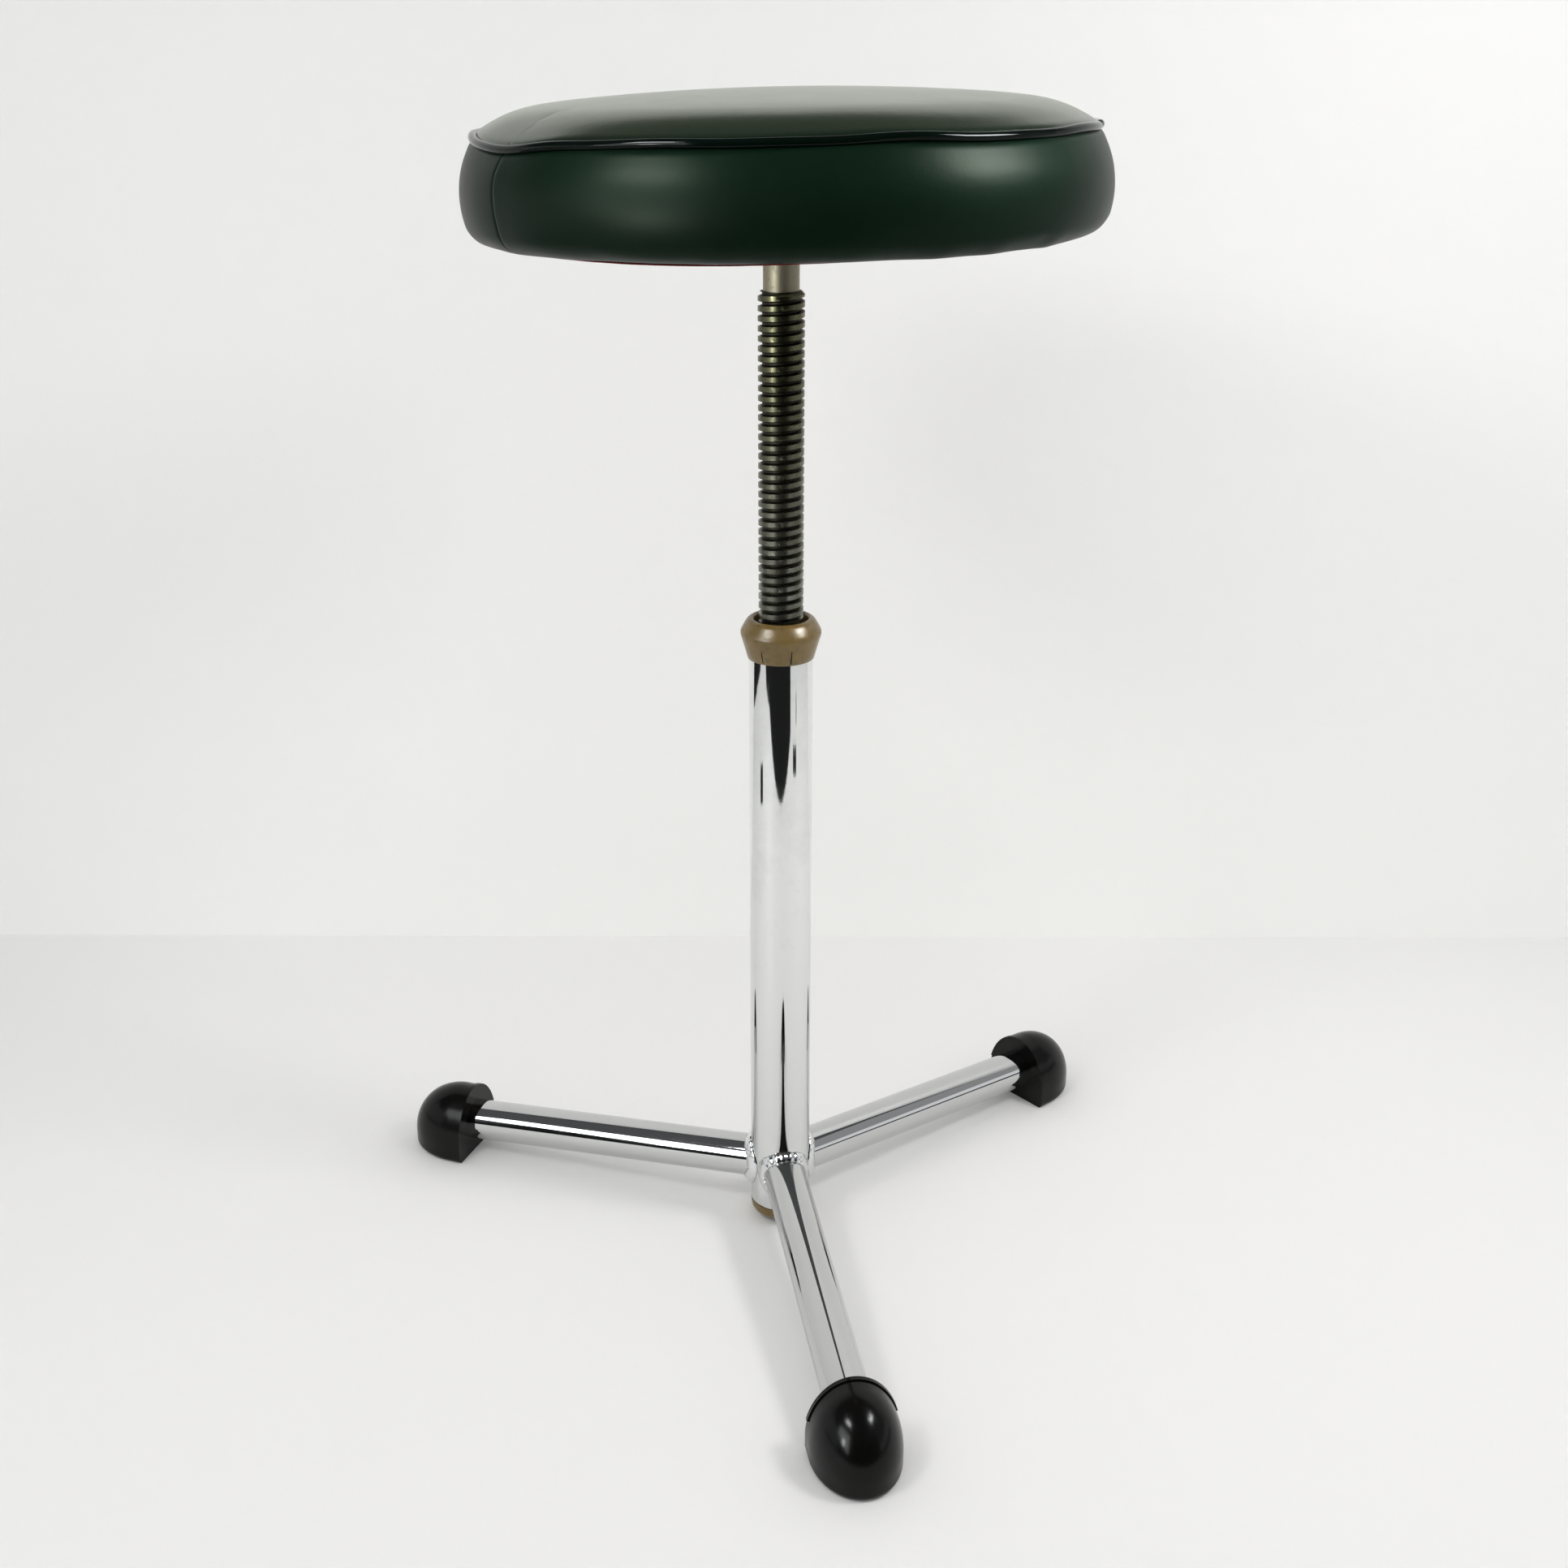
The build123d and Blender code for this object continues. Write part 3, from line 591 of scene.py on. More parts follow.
def cover_point(r, z, angle, gathers):
    """Profile point at an azimuth, with the top seam's wave, the band's seam and its gathers."""
    near_seam = bell(z - SEAM_HEIGHT, SEAM_SPREAD) * min(1.0, r / SEAM_RADIUS) ** 3
    z += seam_wave(angle) * near_seam
    if z < SEAM_HEIGHT - PIPING_RADIUS and r > BOARD_RADIUS:
        off = math.degrees(angle_gap(angle, from_camera_side(BAND_SEAM_AZIMUTH)))
        crease = -0.75 * bell(off, 0.2)
        lap = 0.35 * bell(off - 0.8, 0.5)
        edge = -0.1 * bell(off + 0.8, 0.6)
        r += crease + lap + edge
    if z < HEM_HEIGHT + PLEAT_RISE:
        depth = min(1.0, (HEM_HEIGHT + PLEAT_RISE - z) / PLEAT_SPREAD)
        low = depth * bell(r - PLEAT_RADIUS, PLEAT_SPREAD)
        for where, size, width in gathers:
            off = angle_gap(angle, where)
            if abs(off) < 4 * width:
                z -= low * size * bell(off, width)
                r += low * 0.6 * size * bell(off, width)
    return Vector((r * math.cos(angle), r * math.sin(angle), z))


def inflate(obj, held):
    """Lets the cover swell and pucker between its seams, within a small cap."""
    start = np.empty(len(obj.data.vertices) * 3)
    obj.data.vertices.foreach_get("co", start)
    group = obj.vertex_groups.new(name="held")
    for index, weight in held.items():
        group.add([index], weight, "REPLACE")
    cloth = obj.modifiers.new("Cloth", "CLOTH")
    settings = cloth.settings
    settings.quality = 6
    settings.mass = 0.4
    settings.tension_stiffness = 30.0
    settings.compression_stiffness = 30.0
    settings.shear_stiffness = 12.0
    settings.bending_stiffness = 6.0
    settings.use_pressure = True
    settings.uniform_pressure_force = 3.0
    settings.shrink_min = 0.003
    settings.vertex_group_mass = "held"
    settings.effector_weights.gravity = 0.0
    cloth.collision_settings.use_collision = False
    scene = bpy.context.scene
    for number in range(1, CLOTH_FRAMES + 1):
        scene.frame_set(number)
    graph = bpy.context.evaluated_depsgraph_get()
    swollen = obj.evaluated_get(graph).data
    end = np.empty_like(start)
    swollen.vertices.foreach_get("co", end)
    obj.modifiers.remove(cloth)
    scene.frame_set(1)
    move = (end - start).reshape(-1, 3)
    length = np.linalg.norm(move, axis=1, keepdims=True)
    cap = SWELL_CAP * MM
    move *= cap * np.tanh(length / cap) / np.maximum(length, 1e-12)
    place = start.reshape(-1, 3)
    out = np.linalg.norm(place[:, :2], axis=1) / MM
    crown = place[:, 2] > SEAM_HEIGHT * MM
    rim = crown & (abs(out - CROWN_EVEN) < CROWN_EVEN / 4)
    share = np.clip(1.0 - out / CROWN_EVEN, 0.0, 1.0) * crown
    share = (share * share * (3 - 2 * share))[:, None]
    move = move * (1 - share) + move[rim].mean(axis=0) * share
    obj.data.vertices.foreach_set("co", start + move.ravel())
    obj.data.update()
    print("cover moved by at most", round(float(np.linalg.norm(move, axis=1).max()) / MM, 2), "mm")


def seat_cover(top, band):
    """Vinyl top panel and side band, sewn together under the piping and turned under the board."""
    panel = panel_profile()
    valley = (SEAM_RADIUS - 1.9, SEAM_HEIGHT - 0.2)
    profile = panel[1:] + [valley] + band_profile()
    seam_row = len(panel) - 1
    hem_rows = {len(profile) - 1 - k for k in range(5)}
    gathers = pleat_table()
    angles = cover_columns()
    bm = bmesh.new()
    pole = bm.verts.new((0, 0, panel[0][1]))
    rings = [[bm.verts.new(cover_point(r, z, a, gathers)) for a in angles] for r, z in profile]
    count = len(angles)
    for k in range(count):
        bm.faces.new((pole, rings[0][k], rings[0][(k + 1) % count]))
    for row, (upper, lower) in enumerate(zip(rings, rings[1:])):
        for k in range(count):
            after = (k + 1) % count
            face = bm.faces.new((upper[k], lower[k], lower[after], upper[after]))
            face.material_index = 1 if row >= seam_row else 0
    bm.verts.index_update()
    held = {}
    for row, ring in enumerate(rings):
        weight = 1.0 if row in hem_rows or row == seam_row else 0.0
        if abs(row - seam_row) == 1:
            weight = 0.6
        if profile[row][0] < ROLL_START and profile[row][1] > SEAM_HEIGHT:
            weight = CROWN_HOLD
        if weight:
            held.update({v.index: weight for v in ring})
    obj = new_object("seat_cover", finished_mesh(bm, "seat_cover"))
    inflate(obj, held)
    obj.data.transform(seat_tilt())
    for material in (top, band):
        obj.data.materials.append(material)
    wall = obj.modifiers.new("Wall", "SOLIDIFY")
    wall.thickness = VINYL * MM
    wall.offset = -1.0
    smooth = obj.modifiers.new("Smooth", "SUBSURF")
    smooth.levels = 1
    smooth.render_levels = 1
    apply_modifiers(obj)
    shade_smooth(obj.data)
    return obj


def tube_mesh(name, path, radii, sides):
    """Closed-ended round tube along a path of points in millimetres."""
    bm = bmesh.new()
    rings = []
    for k, point in enumerate(path):
        ahead = path[min(k + 1, len(path) - 1)] - path[max(k - 1, 0)]
        ahead.normalize()
        side = ahead.cross(Vector((0, 0, 1)))
        side.normalize()
        up = side.cross(ahead)
        ring = []
        for j in range(sides):
            a = 2 * math.pi * j / sides
            ring.append(bm.verts.new(point + (side * math.cos(a) + up * math.sin(a)) * radii[k]))
        rings.append(ring)
    skin(bm, rings)
    for ring in (rings[0], rings[-1]):
        bm.faces.new(ring)
    return finished_mesh(bm, name)


def seat_piping(material):
    """Piping round the seam, whose two ends cross and tuck in at the right-hand side."""
    joint = from_camera_side(PIPING_JOINT_AZIMUTH)
    steps, sides = 420, 12
    overlap = math.radians(5.0)
    first_out, first_rise = 0.6, 1.0
    last_in, last_drop = 2.4, 0.8
    path, radii = [], []
    for k in range(steps + 1):
        share = k / steps
        angle = joint - overlap / 2 + share * (2 * math.pi + overlap)
        start = min(1.0, share * (2 * math.pi + overlap) / overlap)
        end = min(1.0, (1 - share) * (2 * math.pi + overlap) / overlap)
        out = first_out * (1 - start) - last_in * (1 - end)
        rise = first_rise * (1 - start) - last_drop * (1 - end)
        wander = 0.25 * math.sin(9 * angle + 0.6) + 0.18 * math.sin(17 * angle)
        r = SEAM_RADIUS + 0.3 + out + 0.3 * wander
        z = SEAM_HEIGHT + seam_wave(angle) + rise + wander
        path.append(Vector((r * math.cos(angle), r * math.sin(angle), z)))
        taper = (0.55 + 0.45 * min(1.0, 2.5 * start)) * (0.75 + 0.25 * min(1.0, 2.5 * end))
        radii.append(PIPING_RADIUS * taper)
    name = "seat_piping_cord"
    return seat_piece(name, tube_mesh(name, path, radii, sides), material)


def ring_mesh(name, profile, columns, shift=None):
    """Ring turned from a closed (r, z) outline; shift gives a lift by radius and angle."""
    bm = bmesh.new()
    rings = []
    for k in range(columns):
        angle = 2 * math.pi * k / columns
        ring = []
        for r, z in profile:
            lift = shift(r, angle) if shift else 0.0
            ring.append(bm.verts.new((r * math.cos(angle), r * math.sin(angle), z + lift)))
        rings.append(ring)
    skin(bm, rings + rings[:1])
    return finished_mesh(bm, name)


def seat_lining(material):
    """Red lining under the board, with a slightly slack, uneven rim."""
    chance = random.Random(SEED + 1)
    waves = []
    for _ in range(6):
        waves.append((chance.randint(7, 31), chance.uniform(0, 6.28), chance.uniform(0.02, 0.07)))
    hang, hang_drop, hang_width = from_camera_side(-20.0), 1.4, 21.0
    slack_start, slack_width = 128.0, 18.0

    def slack(r, angle):
        rim = max(0.0, (r - slack_start) / slack_width)
        low = hang_drop * bell(math.degrees(angle_gap(angle, hang)), hang_width)
        return -rim * (low + abs(sum(size * math.sin(n * angle + turn) for n, turn, size in waves)))

    radii = [66.0, 90.0, 112.0, 119.0, 122.0, 128.0, 134.0, 140.0, 143.0, 145.0]
    hem_edge, on_hem = 120.0, HEM_HEIGHT - 0.05
    upper = [(r, BOARD_BOTTOM if r < hem_edge else on_hem) for r in radii]
    lower = [(r, z - LINING_THICKNESS) for r, z in reversed(upper)]
    return seat_piece("seat_lining", ring_mesh("seat_lining", upper + lower, 180, slack), material)


def seat_panel_board(material):
    """Plywood disc inside the cover, eased at its edges."""
    low, high = BOARD_BOTTOM + 0.02, BOARD_BOTTOM + BOARD_THICKNESS
    rim, ease, corner = BOARD_RADIUS, 1.5, 0.4
    profile = [(BOARD_BORE, low), (rim - ease, low), (rim - corner, low + corner), (rim, low + ease)]
    profile += [(rim, high - ease), (rim - corner, high - corner), (rim - ease, high)]
    profile += [(BOARD_BORE, high)]
    return seat_piece("seat_plywood", ring_mesh("seat_plywood", profile, 144), material)


# Repeated fixings, by Geometry Nodes

def staple_ring_tree():
    """Ring of U-shaped wire staples, one leg each side of the circle's tangent."""
    tree = bpy.data.node_groups.new("staple_ring", "GeometryNodeTree")
    node_input(tree, "Count", "NodeSocketInt", 32)
    node_input(tree, "Circle", "NodeSocketFloat", 0.134)
    node_input(tree, "Width", "NodeSocketFloat", 0.011)
    node_input(tree, "Leg", "NodeSocketFloat", 0.009)
    node_input(tree, "Wire", "NodeSocketFloat", 0.0005)
    node_input(tree, "Height", "NodeSocketFloat", 0.5761)
    tree.interface.new_socket(name="Material", in_out="INPUT", socket_type="NodeSocketMaterial")
    tree.interface.new_socket(name="Geometry", in_out="OUTPUT", socket_type="NodeSocketGeometry")
    make, link = tree.nodes.new, tree.links.new
    source = make("NodeGroupInput").outputs

    def vector(x=None, y=None, z=None):
        node = make("ShaderNodeCombineXYZ")
        for index, value in enumerate((x, y, z)):
            if value is not None:
                link(value, node.inputs[index])
        return node.outputs[0]

    def value(operation, first, second):
        return math_node(tree, operation, first, second)

    def rod(length, turn, place):
        wire = make("GeometryNodeMeshCylinder")
        wire.inputs["Vertices"].default_value = 10
        link(source["Wire"], wire.inputs["Radius"])
        link(length, wire.inputs["Depth"])
        move = make("GeometryNodeTransform")
        link(wire.outputs["Mesh"], move.inputs["Geometry"])
        move.inputs["Rotation"].default_value = turn
        link(place, move.inputs["Translation"])
        return move.outputs["Geometry"]

    half = value("MULTIPLY", source["Width"], 0.5)
    reach = value("SUBTRACT", half, source["Wire"])
    middle = value("MULTIPLY", source["Leg"], 0.5)
    join = make("GeometryNodeJoinGeometry")
    link(rod(source["Width"], (math.pi / 2, 0, 0), vector()), join.inputs[0])
    for side in (reach, value("MULTIPLY", reach, -1.0)):
        link(rod(source["Leg"], (0, 0, 0), vector(None, side, middle)), join.inputs[0])
    circle = make("GeometryNodeMeshCircle")
    link(source["Count"], circle.inputs["Vertices"])
    link(source["Circle"], circle.inputs["Radius"])
    whole = value("MULTIPLY", make("GeometryNodeInputIndex").outputs[0], 2 * math.pi)
    turn = value("DIVIDE", whole, source["Count"])
    spread = make("GeometryNodeInstanceOnPoints")
    link(circle.outputs["Mesh"], spread.inputs["Points"])
    link(join.outputs[0], spread.inputs["Instance"])
    link(vector(None, None, turn), spread.inputs["Rotation"])
    lift = make("GeometryNodeTransform")
    link(spread.outputs["Instances"], lift.inputs["Geometry"])
    link(vector(None, None, source["Height"]), lift.inputs["Translation"])
    real = make("GeometryNodeRealizeInstances")
    link(lift.outputs["Geometry"], real.inputs["Geometry"])
    shade = make("GeometryNodeSetMaterial")
    link(real.outputs["Geometry"], shade.inputs["Geometry"])
    link(source["Material"], shade.inputs["Material"])
    link(shade.outputs["Geometry"], make("NodeGroupOutput").inputs["Geometry"])
    return tree


def grow(name, tree, values):
    """Plain mesh object grown by a Geometry Nodes tree with the given inputs."""
    obj = new_object(name, bpy.data.meshes.new(name))
    modifier = obj.modifiers.new("Grow", "NODES")
    modifier.node_group = tree
    for item in tree.interface.items_tree:
        if item.in_out == "INPUT" and item.name in values:
            modifier[item.identifier] = values[item.name]
    apply_modifiers(obj)
    return obj


def seat_staples(material):
    obj = grow("seat_staple_ring", staple_ring_tree(), {"Material": material})
    obj.data.transform(seat_tilt())
    return obj


# Welds and collar

# Legs and column in millimetres, from the CAD sizes, each leg's lead in degrees, and the weld bead.
LEG_SLOPE = math.radians(4.6)
LEG_ROOT = 37.0
LEG_RADIUS = 12.5
COLUMN_RADIUS = 17.5
BEAD_WIDTH = 4.3
BEAD_SWELL = 0.9
LEG_LEADS = {"front": -90.0, "right": 30.0, "left": 150.0}


def leg_weld(side, lead, material):
    """Plated weld bead round a leg's joint with the column, softly rippled along its length."""
    along = Vector((math.cos(LEG_SLOPE), 0, -math.sin(LEG_SLOPE)))
    across = Vector((0, 1, 0))
    up = along.cross(across)
    root = Vector((0, 0, LEG_ROOT))
    chance = random.Random(SEED + round(lead))
    phase = chance.uniform(0, 6.28)

    def joint(t):
        spoke = across * math.cos(t) + up * math.sin(t)
        start = root + spoke * LEG_RADIUS
        a = along.x ** 2 + along.y ** 2
        b = start.x * along.x + start.y * along.y
        c = start.x ** 2 + start.y ** 2 - COLUMN_RADIUS ** 2
        return start + along * ((-b + math.sqrt(b * b - a * c)) / a), spoke

    def on_column(p):
        k = COLUMN_RADIUS / math.hypot(p.x, p.y)
        return Vector((p.x * k, p.y * k, p.z))

    def on_leg(p):
        reach = (p - root).dot(along)
        middle = root + along * reach
        return middle + (p - middle).normalized() * LEG_RADIUS

    steps, points = 120, 9
    bm = bmesh.new()
    rings = []
    for k in range(steps):
        t = 2 * math.pi * k / steps
        p, spoke = joint(t)
        ahead = (joint(t + 0.01)[0] - joint(t - 0.01)[0]).normalized()
        out = Vector((p.x, p.y, 0)).normalized()
        down_leg = spoke.cross(ahead)
        down_leg *= 1 if down_leg.dot(along) > 0 else -1
        off_leg = out.cross(ahead)
        off_leg *= 1 if off_leg.dot(spoke) > 0 else -1
        ripple = 1 + 0.05 * math.sin(23 * t + phase) + 0.06 * math.sin(7 * t + 2 * phase)
        width = BEAD_WIDTH * ripple
        low, high = on_column(p + off_leg * width), on_leg(p + down_leg * width)
        swell = (out + spoke).normalized() * BEAD_SWELL * ripple
        ring = []
        for j in range(points):
            s = j / (points - 1)
            ring.append(bm.verts.new(low.lerp(high, s) + swell * math.sin(math.pi * s) ** 0.8))
        ring.append(bm.verts.new(p - (out + spoke) * 0.15))
        rings.append(ring)
    skin(bm, rings + rings[:1])
    name = f"leg_weld_{side}"
    obj = new_object(name, finished_mesh(bm, name))
    obj.data.transform(Matrix.Rotation(math.radians(lead), 4, "Z"))
    paint(obj, material)
    return obj


# The collar's splits: azimuth from the camera's side in degrees, height, width at the lower edge.
COLLAR_SPLITS = [(-31.0, 7.6, 1.0), (17.0, 8.6, 1.1)]


def split_collar(material, grime):
    """Nylon collar with two short splits up from its lower edge, whose walls are painted near black as
    shade.
    """
    bottom, shoulder, top = 355.8, 368.0, 378.0
    bore, socket = 14.6, 17.6
    flank = [(18.0, 0.0), (18.9, 3.2), (20.0, 7.0), (21.0, 10.4), (21.6, 12.4), (21.85, 13.8)]
    flank += [(21.75, 15.0), (21.1, 16.4), (20.2, 18.0), (19.1, 19.9), (18.4, 20.9), (17.4, 21.7)]
    outer = [(r, bottom + rise) for r, rise in flank]
    outer += [(16.4, top), (15.6, top - 0.15), (14.9, top - 0.5), (bore, top - 1.2)]
    inner = [(bore, shoulder), (socket, shoulder), (socket, bottom)]
    split_inside, split_outside = 18.3, 26.0
    obj = new_object("collar_split", ring_mesh("collar_split", outer + inner, 160))
    paint(obj, material)
    for azimuth, height, width in COLLAR_SPLITS:
        angle = from_camera_side(azimuth)
        bm = bmesh.new()
        out = Vector((math.cos(angle), math.sin(angle), 0))
        side = Vector((-math.sin(angle), math.cos(angle), 0))
        slit = [(-width / 2, -1.0), (width / 2, -1.0)]
        slit += [(0.12 * width, height), (-0.2 * width, height)]
        corners = []
        for reach in (split_inside, split_outside):
            for across, rise in slit:
                place = out * reach + side * across + Vector((0, 0, bottom + rise))
                corners.append(bm.verts.new(place))
        near, far = corners[:4], corners[4:]
        bm.faces.new(near)
        bm.faces.new(far)
        for k in range(4):
            bm.faces.new((near[k], near[(k + 1) % 4], far[(k + 1) % 4], far[k]))
        wedge = new_object("split_wedge", finished_mesh(bm, "split_wedge"))
        # The wedge's near-black material passes to the walls of the split: painted shade inside it.
        paint(wedge, grime)
        cut = obj.modifiers.new("Split", "BOOLEAN")
        cut.operation = "DIFFERENCE"
        cut.object = wedge
        cut.solver = "EXACT"
        cut.material_mode = "TRANSFER"
        apply_modifiers(obj)
        bpy.data.objects.remove(wedge)
    bevel = obj.modifiers.new("Soft", "BEVEL")
    bevel.width = 0.12 * MM
    bevel.segments = 1
    bevel.limit_method = "ANGLE"
    bevel.angle_limit = math.radians(50.0)
    apply_modifiers(obj)
    shade_smooth(obj.data)
    return obj


# Studio

def stage_plane(name, corners, material):
    mesh = bpy.data.meshes.new(name)
    mesh.from_pydata([photo_frame() @ Vector(c) for c in corners], [], [tuple(range(len(corners)))])
    obj = new_object(name, mesh)
    paint(obj, material)
    return obj


def clear_from_behind(finish):
    """Lets the camera look through a stage plane from its back."""
    tree = finish.tree
    clear = tree.nodes.new("ShaderNodeBsdfTransparent")
    mix = tree.nodes.new("ShaderNodeMixShader")
    behind = tree.nodes.new("ShaderNodeNewGeometry").outputs["Backfacing"]
    seen = tree.nodes.new("ShaderNodeLightPath").outputs["Is Camera Ray"]
    tree.links.new(finish.math("MULTIPLY", behind, seen), mix.inputs[0])
    tree.links.new(finish.shader.outputs[0], mix.inputs[1])
    tree.links.new(clear.outputs[0], mix.inputs[2])
    tree.links.new(mix.outputs[0], tree.nodes["Material Output"].inputs["Surface"])
    return finish.material


def pale_floor_material():
    """Off-white floor, a little greyer in mirrors, and clear from below."""
    finish = Finish("pale_floor", Roughness=0.75)
    marks = finish.soiling(scale=1.2, cover=0.5, softness=0.4)
    painted = finish.blend(marks, (0.86, 0.855, 0.845), (0.83, 0.828, 0.82))
    mirrored = finish.tree.nodes.new("ShaderNodeLightPath").outputs["Is Glossy Ray"]
    finish.feed("Base Color", finish.blend(mirrored, painted, (0.80, 0.80, 0.79)))
    return clear_from_behind(finish)


def pale_wall_material():
    """Off-white wall with a painted shade that greys it towards its top; in mirrors it ends there. It
    is clear from behind.
    """
    finish = Finish("pale_wall", Roughness=0.8)
    marks = finish.soiling(scale=1.6, cover=0.5, softness=0.35)
    mirrored = finish.tree.nodes.new("ShaderNodeLightPath").outputs["Is Glossy Ray"]
    height = finish.height()
    low = finish.blend(marks, (0.975, 0.972, 0.955), (0.955, 0.952, 0.935))
    # Painted shade: the wall greys towards its top.
    painted = finish.blend(finish.stretch(height, WALL_SHADE_START, WALL_SHADE_FULL), low, (0.79, 0.788, 0.78))
    dim = finish.math("MULTIPLY", finish.stretch(height, WALL_END_START, WALL_END), mirrored)
    finish.feed("Base Color", finish.blend(dim, painted, (0.07, 0.07, 0.075)))
    return clear_from_behind(finish)


def card_material(name, colour, strength):
    material = bpy.data.materials.new(name)
    material.use_nodes = True
    tree = material.node_tree
    tree.nodes.remove(tree.nodes["Principled BSDF"])
    glow = tree.nodes.new("ShaderNodeEmission")
    glow.inputs["Color"].default_value = (*colour, 1.0)
    glow.inputs["Strength"].default_value = strength
    tree.links.new(glow.outputs[0], tree.nodes["Material Output"].inputs["Surface"])
    return material


def first_mirror_only(material):
    """Lets a card show where it is mirrored once, and not in a mirror seen in a mirror."""
    tree = material.node_tree
    glow = tree.nodes["Emission"]
    depth = tree.nodes.new("ShaderNodeLightPath").outputs["Glossy Depth"]
    strength = glow.inputs["Strength"]
    first = math_node(tree, "LESS_THAN", depth, 1.5)
    tree.links.new(math_node(tree, "MULTIPLY", first, strength.default_value), strength)


def mirror_only(obj):
    """Makes a card show only as a reflection."""
    obj.visible_camera = False
    obj.visible_diffuse = False
    obj.visible_shadow = False


# Parts of the floor that mirror as dark: past its front and left edges and in a few gaps.
DARK_FLOOR = {
    "dark_front": [(0.95, -1.7), (0.60, -0.88), (0.50, -0.706), (0.30, -0.692), (0.0, -0.680),
                   (-0.30, -0.694), (-0.49, -0.706), (-0.62, -0.716), (-0.81, -0.604),
                   (-1.3, -0.70), (-1.3, -1.7)],
    "dark_left": [(-0.855, 0.37), (-0.94, 0.20), (-1.0, 0.05), (-1.03, -0.12), (-1.04, -0.26),
                  (-1.5, -0.26), (-1.5, 0.37)],
    "dark_gap_left": [(-0.76, -0.16), (-0.72, -0.30), (-0.625, -0.257), (-0.66, -0.133)],
    "dark_gap_right": [(0.582, -0.596), (0.698, -0.452), (0.635, -0.403), (0.53, -0.536)],
    "dark_gap_far": [(0.80, -0.56), (0.84, -0.54), (0.76, -0.48), (0.73, -0.50)],
}
DARK_GLOW = 0.013

# Upright cards that only show in mirrors: each end's x, y, lowest and highest edge, then brightness.
CARDS = {
    "dark_room_card": ((-2.3, -1.7, 0.0, 1.25), (1.6, -1.7, 0.0, 1.25), DARK_GLOW),
    "window_card": ((-1.15, -0.50, 0.56, 0.93), (-0.68, -1.11, 0.22, 0.95), 5.6),
    "window_pane_card": ((-0.873, -0.775, 0.36, 0.52), (-0.787, -0.885, 0.36, 0.52), 40.0),
    "left_side_card": ((-1.7, 1.3, 0.10, 0.85), (-1.7, -0.9, 0.10, 0.85), 0.80),
    "right_side_card": ((1.5, -0.9, 0.42, 1.30), (1.5, 0.36, 0.42, 1.30), 0.36),
    "right_low_card": ((1.5, -0.9, 0.11, 0.42), (1.5, 0.36, 0.11, 0.42), 0.90),
    "right_gap_card": ((1.5, -0.9, 0.0, 0.11), (1.5, 0.36, 0.0, 0.11), DARK_GLOW),
    "lamp_left_card": ((-0.705, -0.438, 0.92, 1.18), (-0.495, -0.662, 0.92, 1.18), 36.0),
    "lamp_right_card": ((0.677, -0.379, 0.87, 1.17), (0.783, -0.101, 0.87, 1.17), 52.0),
}
CARD_COLOUR = (0.96, 0.98, 1.0)


def studio():
    floor_size, wall_y, wall_top, lift = 4.0, 0.372, 1.25, 0.0006
    ends = (-floor_size, floor_size)
    floor = [(x, ends[0], 0) for x in ends] + [(x, ends[1], 0) for x in reversed(ends)]
    stage_plane("floor", floor, pale_floor_material())
    wall = [(x, wall_y, 0) for x in ends] + [(x, wall_y, wall_top) for x in reversed(ends)]
    stage_plane("wall", wall, pale_wall_material())
    dark = card_material("dark_room", CARD_COLOUR, DARK_GLOW)
    for name, corners in DARK_FLOOR.items():
        mirror_only(stage_plane(name, [(x, y, lift) for x, y in corners], dark))
    for name, (start, end, glow) in CARDS.items():
        corners = [start[:3], end[:3], (*end[:2], end[3]), (*start[:2], start[3])]
        material = card_material(name, CARD_COLOUR, glow)
        if name.startswith("lamp_"):
            first_mirror_only(material)
        mirror_only(stage_plane(name, corners, material))


# Lamps: place, aim, size and power.
LAMPS = {
    "lamp_left": ((-0.60, -0.55, 1.05), (0, -0.05, 0.15), 0.26, 2.6),
    "lamp_right": ((0.73, -0.24, 1.02), (0, -0.05, 0.15), 0.26, 3.4),
    "lamp_over": ((0.0, -0.9, 2.3), (0, 0.1, 0.2), 1.4, 3.0),
}
LAMP_COLOUR = (1.0, 0.985, 0.96)


def lamp(name, place, aim, size, power):
    """Round soft lamp that mirrors don't show; cards stand for the side lamps there."""
    light = bpy.data.lights.new(name, "AREA")
    light.shape = "DISK"
    light.size = size
    light.energy = power
    light.color = LAMP_COLOUR
    obj = new_object(name, light)
    spot = photo_frame() @ Vector(place)
    ahead = photo_frame() @ Vector(aim) - spot
    obj.rotation_euler = ahead.to_track_quat("-Z", "Y").to_euler()
    obj.location = spot
    obj.visible_glossy = False


def room_light():
    """Even pale light; the room mirrors darker than it lights, and the background shows pale."""
    world = bpy.data.worlds.new("room")
    bpy.context.scene.world = world
    world.use_nodes = True
    tree = world.node_tree
    path = tree.nodes.new("ShaderNodeLightPath")

    def background(node, colour, strength):
        node.inputs["Color"].default_value = (*colour, 1.0)
        node.inputs["Strength"].default_value = strength
        return node.outputs[0]

    def swap_for(ray, usual, instead):
        mix = tree.nodes.new("ShaderNodeMixShader")
        for index, output in enumerate((path.outputs[ray], usual, instead)):
            tree.links.new(output, mix.inputs[index])
        return mix.outputs[0]

    light = background(tree.nodes["Background"], (0.97, 0.985, 1.0), 0.67)
    mirrored = background(tree.nodes.new("ShaderNodeBackground"), (0.9, 0.92, 0.95), 0.11)
    shown = background(tree.nodes.new("ShaderNodeBackground"), (0.9, 0.9, 0.89), 0.93)
    lit = swap_for("Is Glossy Ray", light, mirrored)
    surface = tree.nodes["World Output"].inputs["Surface"]
    tree.links.new(swap_for("Is Camera Ray", lit, shown), surface)


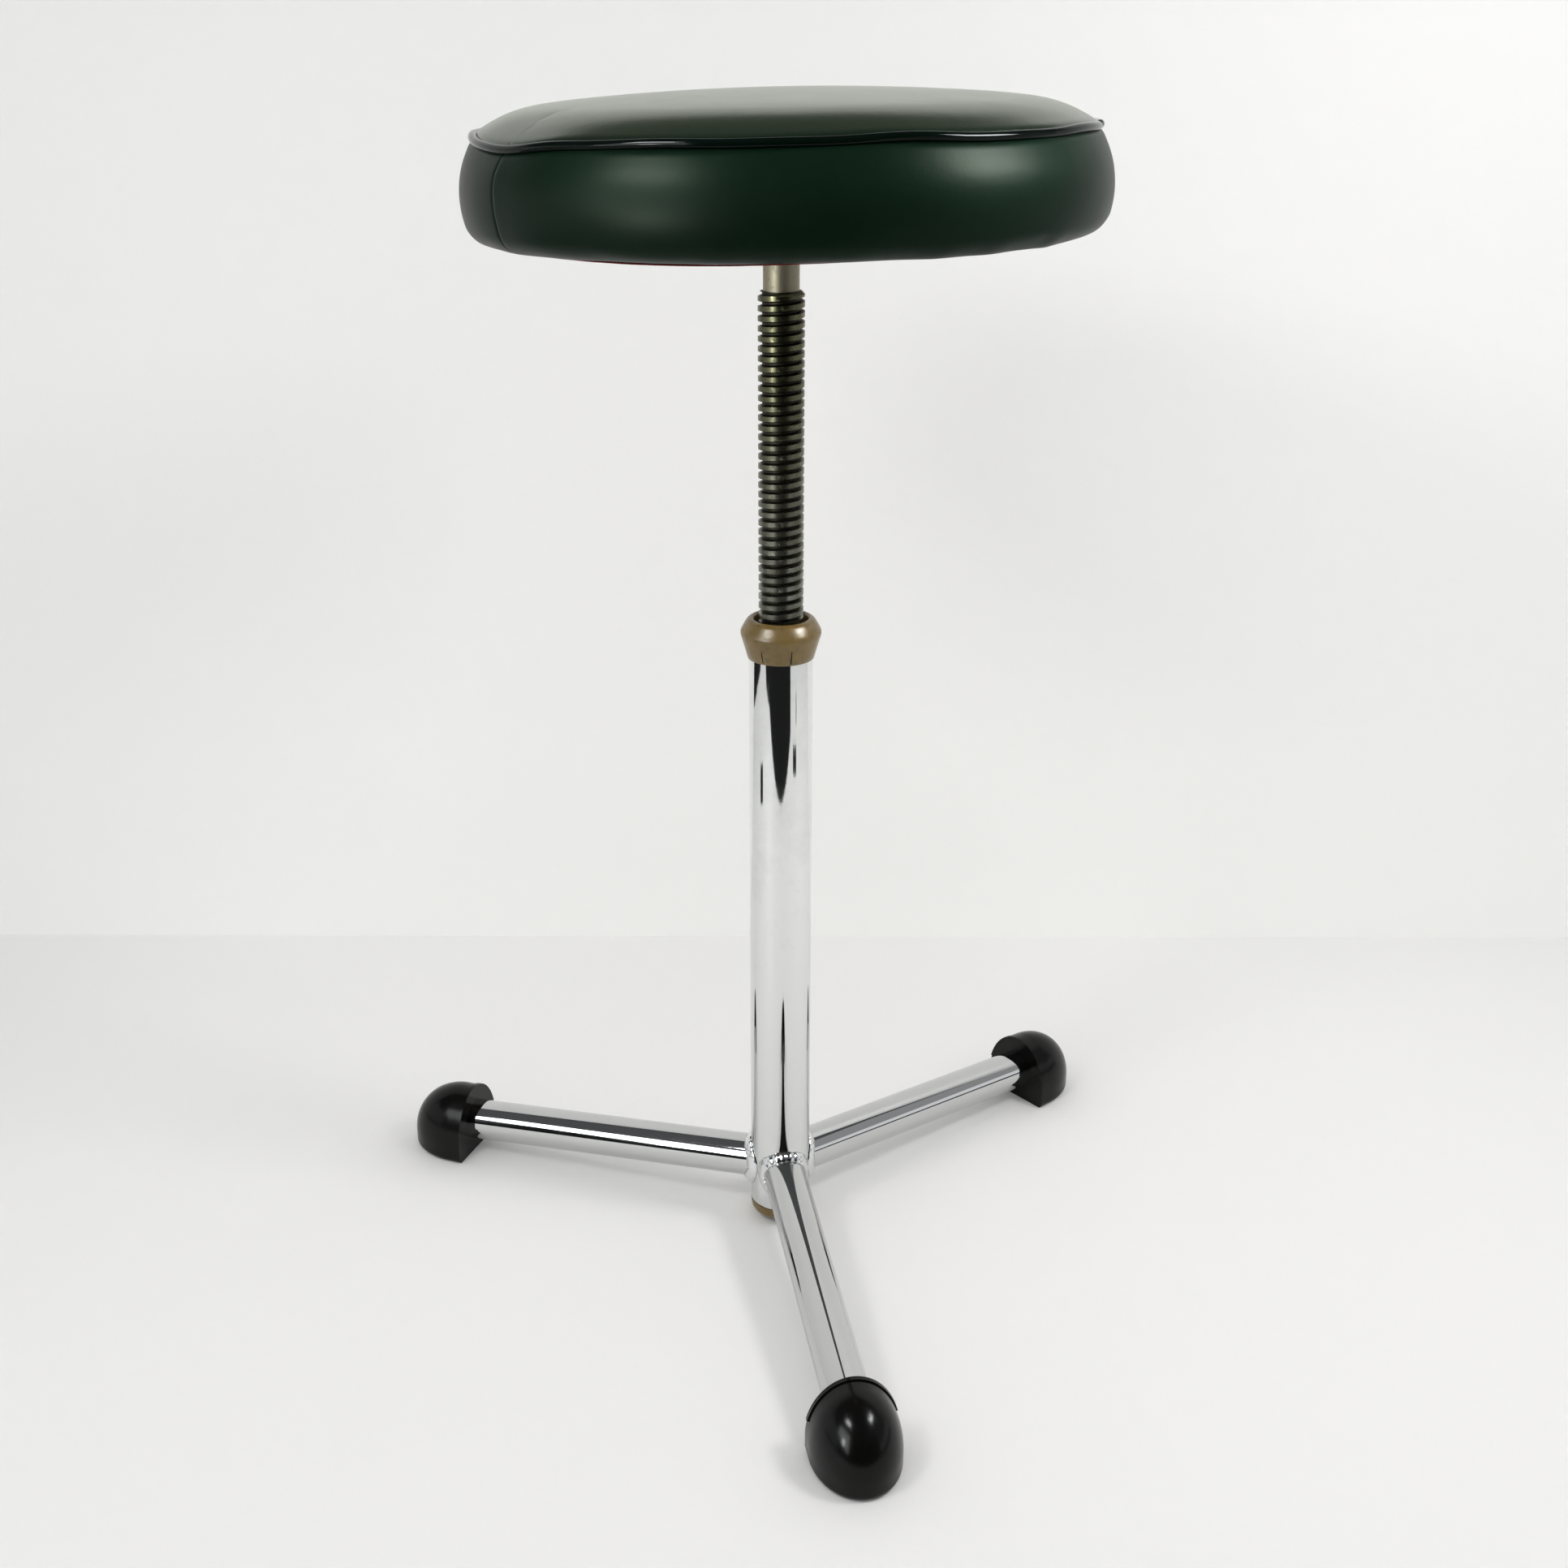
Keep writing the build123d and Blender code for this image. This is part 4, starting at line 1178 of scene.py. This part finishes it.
def camera():
    data = bpy.data.cameras.new("camera")
    data.sensor_width = SENSOR_WIDTH
    data.lens = FOCAL_PIXELS / PHOTO_SIZE * SENSOR_WIDTH
    data.clip_start = 0.01
    obj = new_object("camera", data)
    aim = Matrix.Rotation(math.pi / 2 - CAMERA_PITCH, 4, "X") @ Matrix.Rotation(CAMERA_ROLL, 4, "Z")
    obj.matrix_world = photo_frame() @ Matrix.Translation(CAMERA_SPOT) @ aim
    bpy.context.scene.camera = obj


def dress_cad_nodes(finishes):
    """Gives each CAD node that stays in view its finish."""
    kept = {
        "chrome": ["column_tube"],
        "leg_chrome": ["leg_front", "leg_right", "leg_left"],
        "rubber": ["foot_front", "foot_right", "foot_left"],
        "nylon": ["bottom_plug", "guide_bush"],
        "screw": ["spindle", "screw_nut"],
        "steel": ["foot_washer_front", "foot_washer_right", "foot_washer_left", "stop_washer",
                  "stop_bolt", "seat_plate", "spindle_weld", "plate_screws"],
    }
    for finish, nodes in kept.items():
        for node in nodes:
            paint(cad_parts[node], finishes[finish])


def build():
    finishes = {
        # The dull colours carry both the haze and the painted shade near the floor. The legs lie below
        # the shade's full height, so they take their dull colour all over.
        "chrome": chrome_plate("column_chrome", bright=(0.89, 0.895, 0.89), dull=(0.74, 0.745, 0.74),
                               haze_low=0.035, haze_high=0.085),
        "leg_chrome": chrome_plate("leg_chrome", bright=(0.66, 0.665, 0.66), dull=(0.60, 0.605, 0.60),
                                   haze_low=0.045, haze_high=0.10),
        "rubber": black_rubber(),
        "nylon": tan_nylon(),
        "screw": oiled_screw(),
        "steel": plated_steel(),
    }
    dress_cad_nodes(finishes)
    top = green_vinyl("green_vinyl_top", gloss=0.62, dust=0.11, smooth=0.17, rough=0.23)
    band = green_vinyl("green_vinyl_band", gloss=0.085, dust=0.0, smooth=0.33, rough=0.39)
    cover = seat_cover(top, band)
    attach(cover, "seat")
    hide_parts("seat_top_panel", "seat_side_band", "foam_pad")
    piping = seat_piping(green_piping())
    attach(piping, "seat")
    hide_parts("seat_piping")
    lining = seat_lining(red_lining())
    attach(lining, "seat")
    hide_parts("under_lining")
    board = seat_panel_board(birch_plywood())
    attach(board, "seat")
    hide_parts("seat_board")
    staples = seat_staples(finishes["steel"])
    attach(staples, "seat")
    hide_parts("staples")
    # Near-black painted shade for the walls of the collar's splits.
    grime = Finish("split_painted_shade", Base_Color=(0.012, 0.009, 0.006, 1.0), Roughness=0.8).material
    collar = split_collar(finishes["nylon"], grime)
    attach(collar, "base")
    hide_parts("column_collar")
    bead = weld_chrome()
    for side, lead in LEG_LEADS.items():
        weld = leg_weld(side, lead, bead)
        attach(weld, "base")
        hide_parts(f"weld_{side}")


build()
studio()
for lamp_name, lamp_values in LAMPS.items():
    lamp(lamp_name, *lamp_values)
room_light()
camera()
bpy.context.scene.view_settings.view_transform = "Standard"
